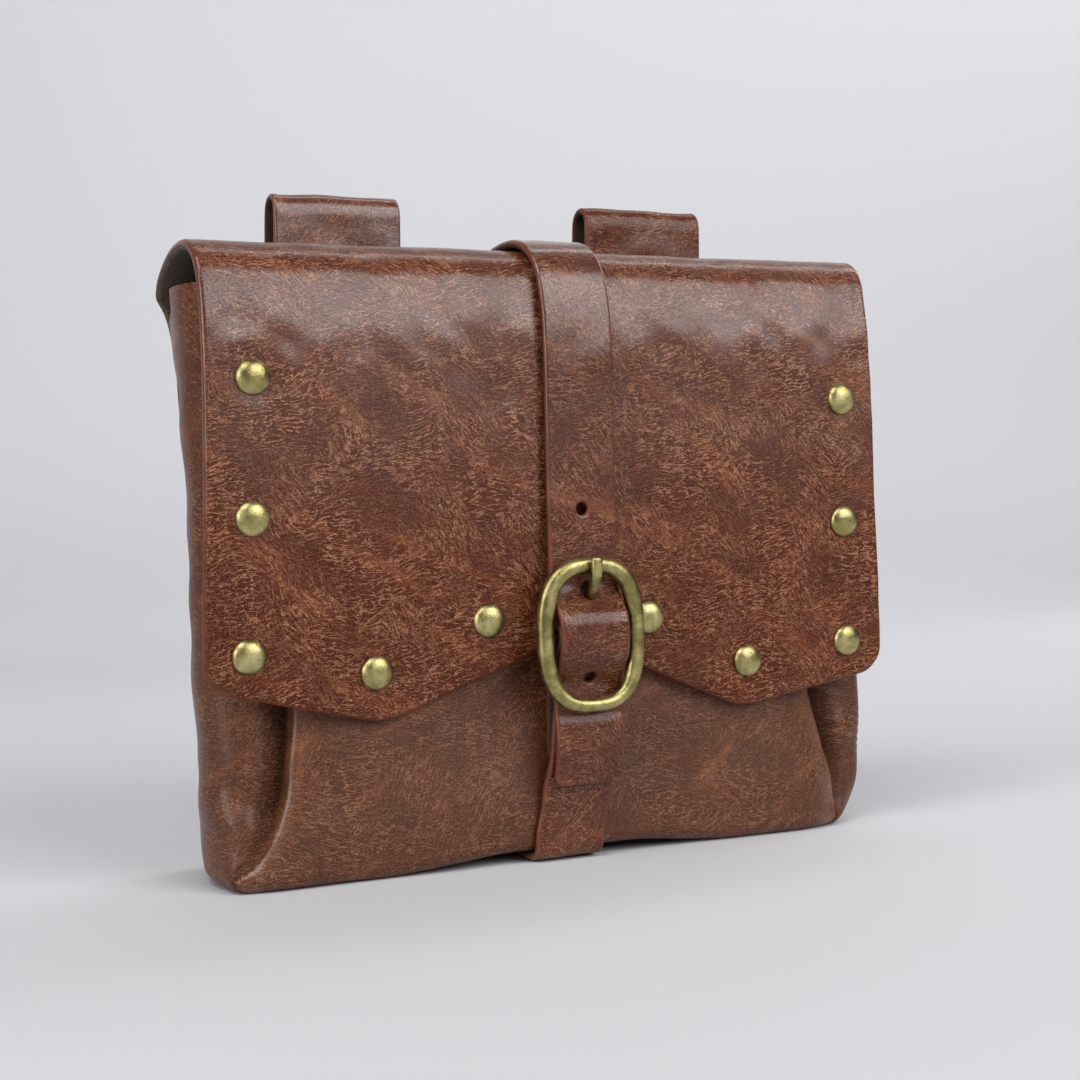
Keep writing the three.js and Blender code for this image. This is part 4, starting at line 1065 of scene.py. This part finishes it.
buckle = {
    "x": 2.0, "y": backFace - 49.5, "z": buckleZ + 0.1, "halfWide": 12.0, "halfTall": 16.65,
    "bar": 1.75, "thick": 1.8, "squareness": 2.75, "section": 2.25, "bow": 0.5,
    "barY": backFace - 47.3, "barRadius": 1.3,
}
forward = (0.0, -1, 0)


def makeBrass(node, solids):
    points, faces = joined(*solids)
    makePiece(node + "_brass", points, faces, [finishes["brass"]], [node], sharp=60)


def buildBuckle():
    halfWide, halfTall, power = buckle["halfWide"], buckle["halfTall"], buckle["squareness"]
    angle = np.linspace(0, 2 * np.pi, 2000, endpoint=False)
    oval = [halfWide * squared(np.cos(angle), power), halfTall * squared(np.sin(angle), power)]
    oval = np.stack(oval, 1)
    oval = np.concatenate([oval, oval[:1]])
    run = runOf(oval)
    count = 180
    at = np.linspace(0, run[-1], count, endpoint=False)
    x, z = (np.interp(at, run, oval[:, k]) for k in (0, 1))
    along = unit(np.stack([np.roll(v, -1) - np.roll(v, 1) for v in (x, z)], 1))
    path = np.stack([x + buckle["x"], np.full(count, buckle["y"]), z + buckle["z"]], 1)
    path[:, 1] -= buckle["bow"] * np.abs(z / halfTall) ** 2 - buckle["bow"] / 2
    across = np.stack([along[:, 1], np.zeros(count), -along[:, 0]], 1)
    wide = buckle["bar"] + 0.4 * np.abs(x / halfWide) ** 2 + 0.1 * z / halfTall
    frameBar = sweep(path, across, forward, wide, buckle["thick"], buckle["section"], 24, True)
    barX = np.linspace(-halfWide, halfWide, 30) + buckle["x"]
    bar = np.stack([barX, np.full(30, buckle["barY"]), np.full(30, buckle["z"])], 1)
    radius = buckle["barRadius"]
    centre = sweep(bar, (0.0, 0, 1), forward, radius, radius, 2, 16, False)
    makeBrass("buckle_frame", [frameBar, centre])


prong = {
    "spine": [  # depth, and height over the buckle's middle
        (47.3, 1.6), (47.1, 5.7), (47.9, 8.8), (50.3, 11.6), (52.6, 14.6), (53, 16.9),
        (52.9, 18.9),
    ],
    "x": 0.1,  # beside the buckle's middle at the tip, and more at the eye
    "eyeX": 1.2,
    "straight": (8, 15),
    "wide": (1.5, 0.12),  # half, and how much of it is lost up to the tip
    "tall": (1.15, 0.2),
    "tip": 0.07,
    "section": 2.6,
    "eyeRadius": 2.15,
    "eyeWide": 1.6,
    "eyeThick": 0.5,
}


def buildProng():
    depth, up = through(prong["spine"], 12).T
    count = len(depth)
    x = buckle["x"] + prong["x"] + 1.1 * (1 - smooth(up, *prong["straight"]))
    path = np.stack([x, backFace - depth, buckleZ + up], 1)
    along = unit(np.gradient(path, axis=0))
    across = np.tile([1.0, 0, 0], (count, 1))
    share = np.linspace(0, 1, count)
    tip = np.clip((share - (1 - prong["tip"])) / prong["tip"], 0, 1)
    tip = np.sqrt(np.clip(1 - tip**2, 0.02, 1))
    wide, tall = ((full - loss * share) * tip for full, loss in (prong["wide"], prong["tall"]))
    blade = sweep(path, across, np.cross(across, along), wide, tall, prong["section"], 20, False)
    angle, radius = np.linspace(0, 2 * np.pi, 40, endpoint=False), prong["eyeRadius"]
    outward = np.stack([np.zeros(40), np.cos(angle), np.sin(angle)], 1)
    middle = np.array([buckle["x"] + prong["eyeX"], buckle["barY"], buckle["z"]])
    ring = middle + radius * outward
    eye = sweep(ring, (1.0, 0, 0), outward, prong["eyeWide"], prong["eyeThick"], 3, 14, True)
    makeBrass("buckle_prong", [blade, eye])


buildBuckle()
buildProng()

# Floor, light and camera


def plainMaterial(name, colour, roughness):
    material, tree, shader = newMaterial(name)
    values = {"Base Color": colour, "Roughness": roughness, "Specular IOR Level": 0.3}
    setInputs(tree, shader, values)
    return material


def buildStage():
    # A floor that bends up into a backdrop behind the object.
    profile = [(-1.4, 0), (0.4, 0), (0.9, 0), (1.25, 0.12), (1.42, 0.5), (1.45, 1), (1.45, 2.2)]
    profile = through(profile, 12)
    rows = len(profile)
    x = np.tile([-2.4, 3.2], rows)
    points = np.stack([x, np.repeat(profile[:, 0], 2), np.repeat(profile[:, 1], 2)], 1)
    mesh = bpy.data.meshes.new("backdrop")
    mesh.from_pydata(points.tolist(), [], gridQuads(rows, 2, True).tolist())
    mesh.shade_smooth()
    mesh.materials.append(plainMaterial("paper", tone(206, 206, 209), 0.75))
    inScene("backdrop", mesh)


def addLight(name, place, target, size, power, colour=(1, 1, 1)):
    data = bpy.data.lights.new(name, "AREA")
    data.shape = "RECTANGLE"
    data.size, data.size_y = size
    data.energy = power
    data.color = colour
    light = inScene(name, data)
    light.location = place
    light.rotation_euler = (Vector(target) - Vector(place)).to_track_quat("-Z", "Y").to_euler()


def setCamera(place, yaw, pitch, roll, pixels):
    yaw, pitch, roll = np.radians([yaw, pitch, roll])
    forward = np.array([np.sin(yaw) * np.cos(pitch), np.cos(yaw) * np.cos(pitch), np.sin(pitch)])
    right = np.array([np.cos(yaw), -np.sin(yaw), 0])
    up = np.cross(right, forward)
    axes = np.eye(4)
    axes[:3, 0] = np.cos(roll) * right + np.sin(roll) * up
    axes[:3, 1] = np.cos(roll) * up - np.sin(roll) * right
    axes[:3, 2] = -forward
    axes[:3, 3] = np.array(place) * 0.001
    data = bpy.data.cameras.new("camera")
    data.sensor_width = 36
    data.lens = pixels * data.sensor_width / 1080  # pixels: focal length in the photo's own
    data.clip_start = 0.01
    camera = inScene("camera", data)
    camera.matrix_world = Matrix(axes.tolist())
    bpy.context.scene.camera = camera


buildStage()
addLight("front right softbox", (0.53, -1.06, 0.82), (0, -0.03, 0.13), (1.1, 0.98), 15)
addLight("upper left", (-0.6, -0.5, 1.2), (0, 0, 0.05), (0.8, 0.6), 7.6)
addLight("backdrop light", (1.5, 0.7, 1.2), (1.3, 1.45, 0.7), (3.2, 0.4), 19)
addLight("left side", (-1.15, -0.4, 0.45), (0, 0, 0.08), (0.5, 0.7), 6)
addLight("right back", (0.95, 0.3, 0.5), (0, 0, 0.07), (0.3, 0.8), 2, (0.92, 0.96, 1))
world = bpy.data.worlds.new("room")
world.use_nodes = True
background = world.node_tree.nodes["Background"]
setInputs(world.node_tree, background, {"Color": (0.82, 0.84, 0.87, 1), "Strength": 0.12})
bpy.context.scene.world = world
bpy.context.scene.view_settings.view_transform = "Standard"
setCamera((-194.93, -419.04, 88.25), 25.146, -1.401, -1.439, 1847)
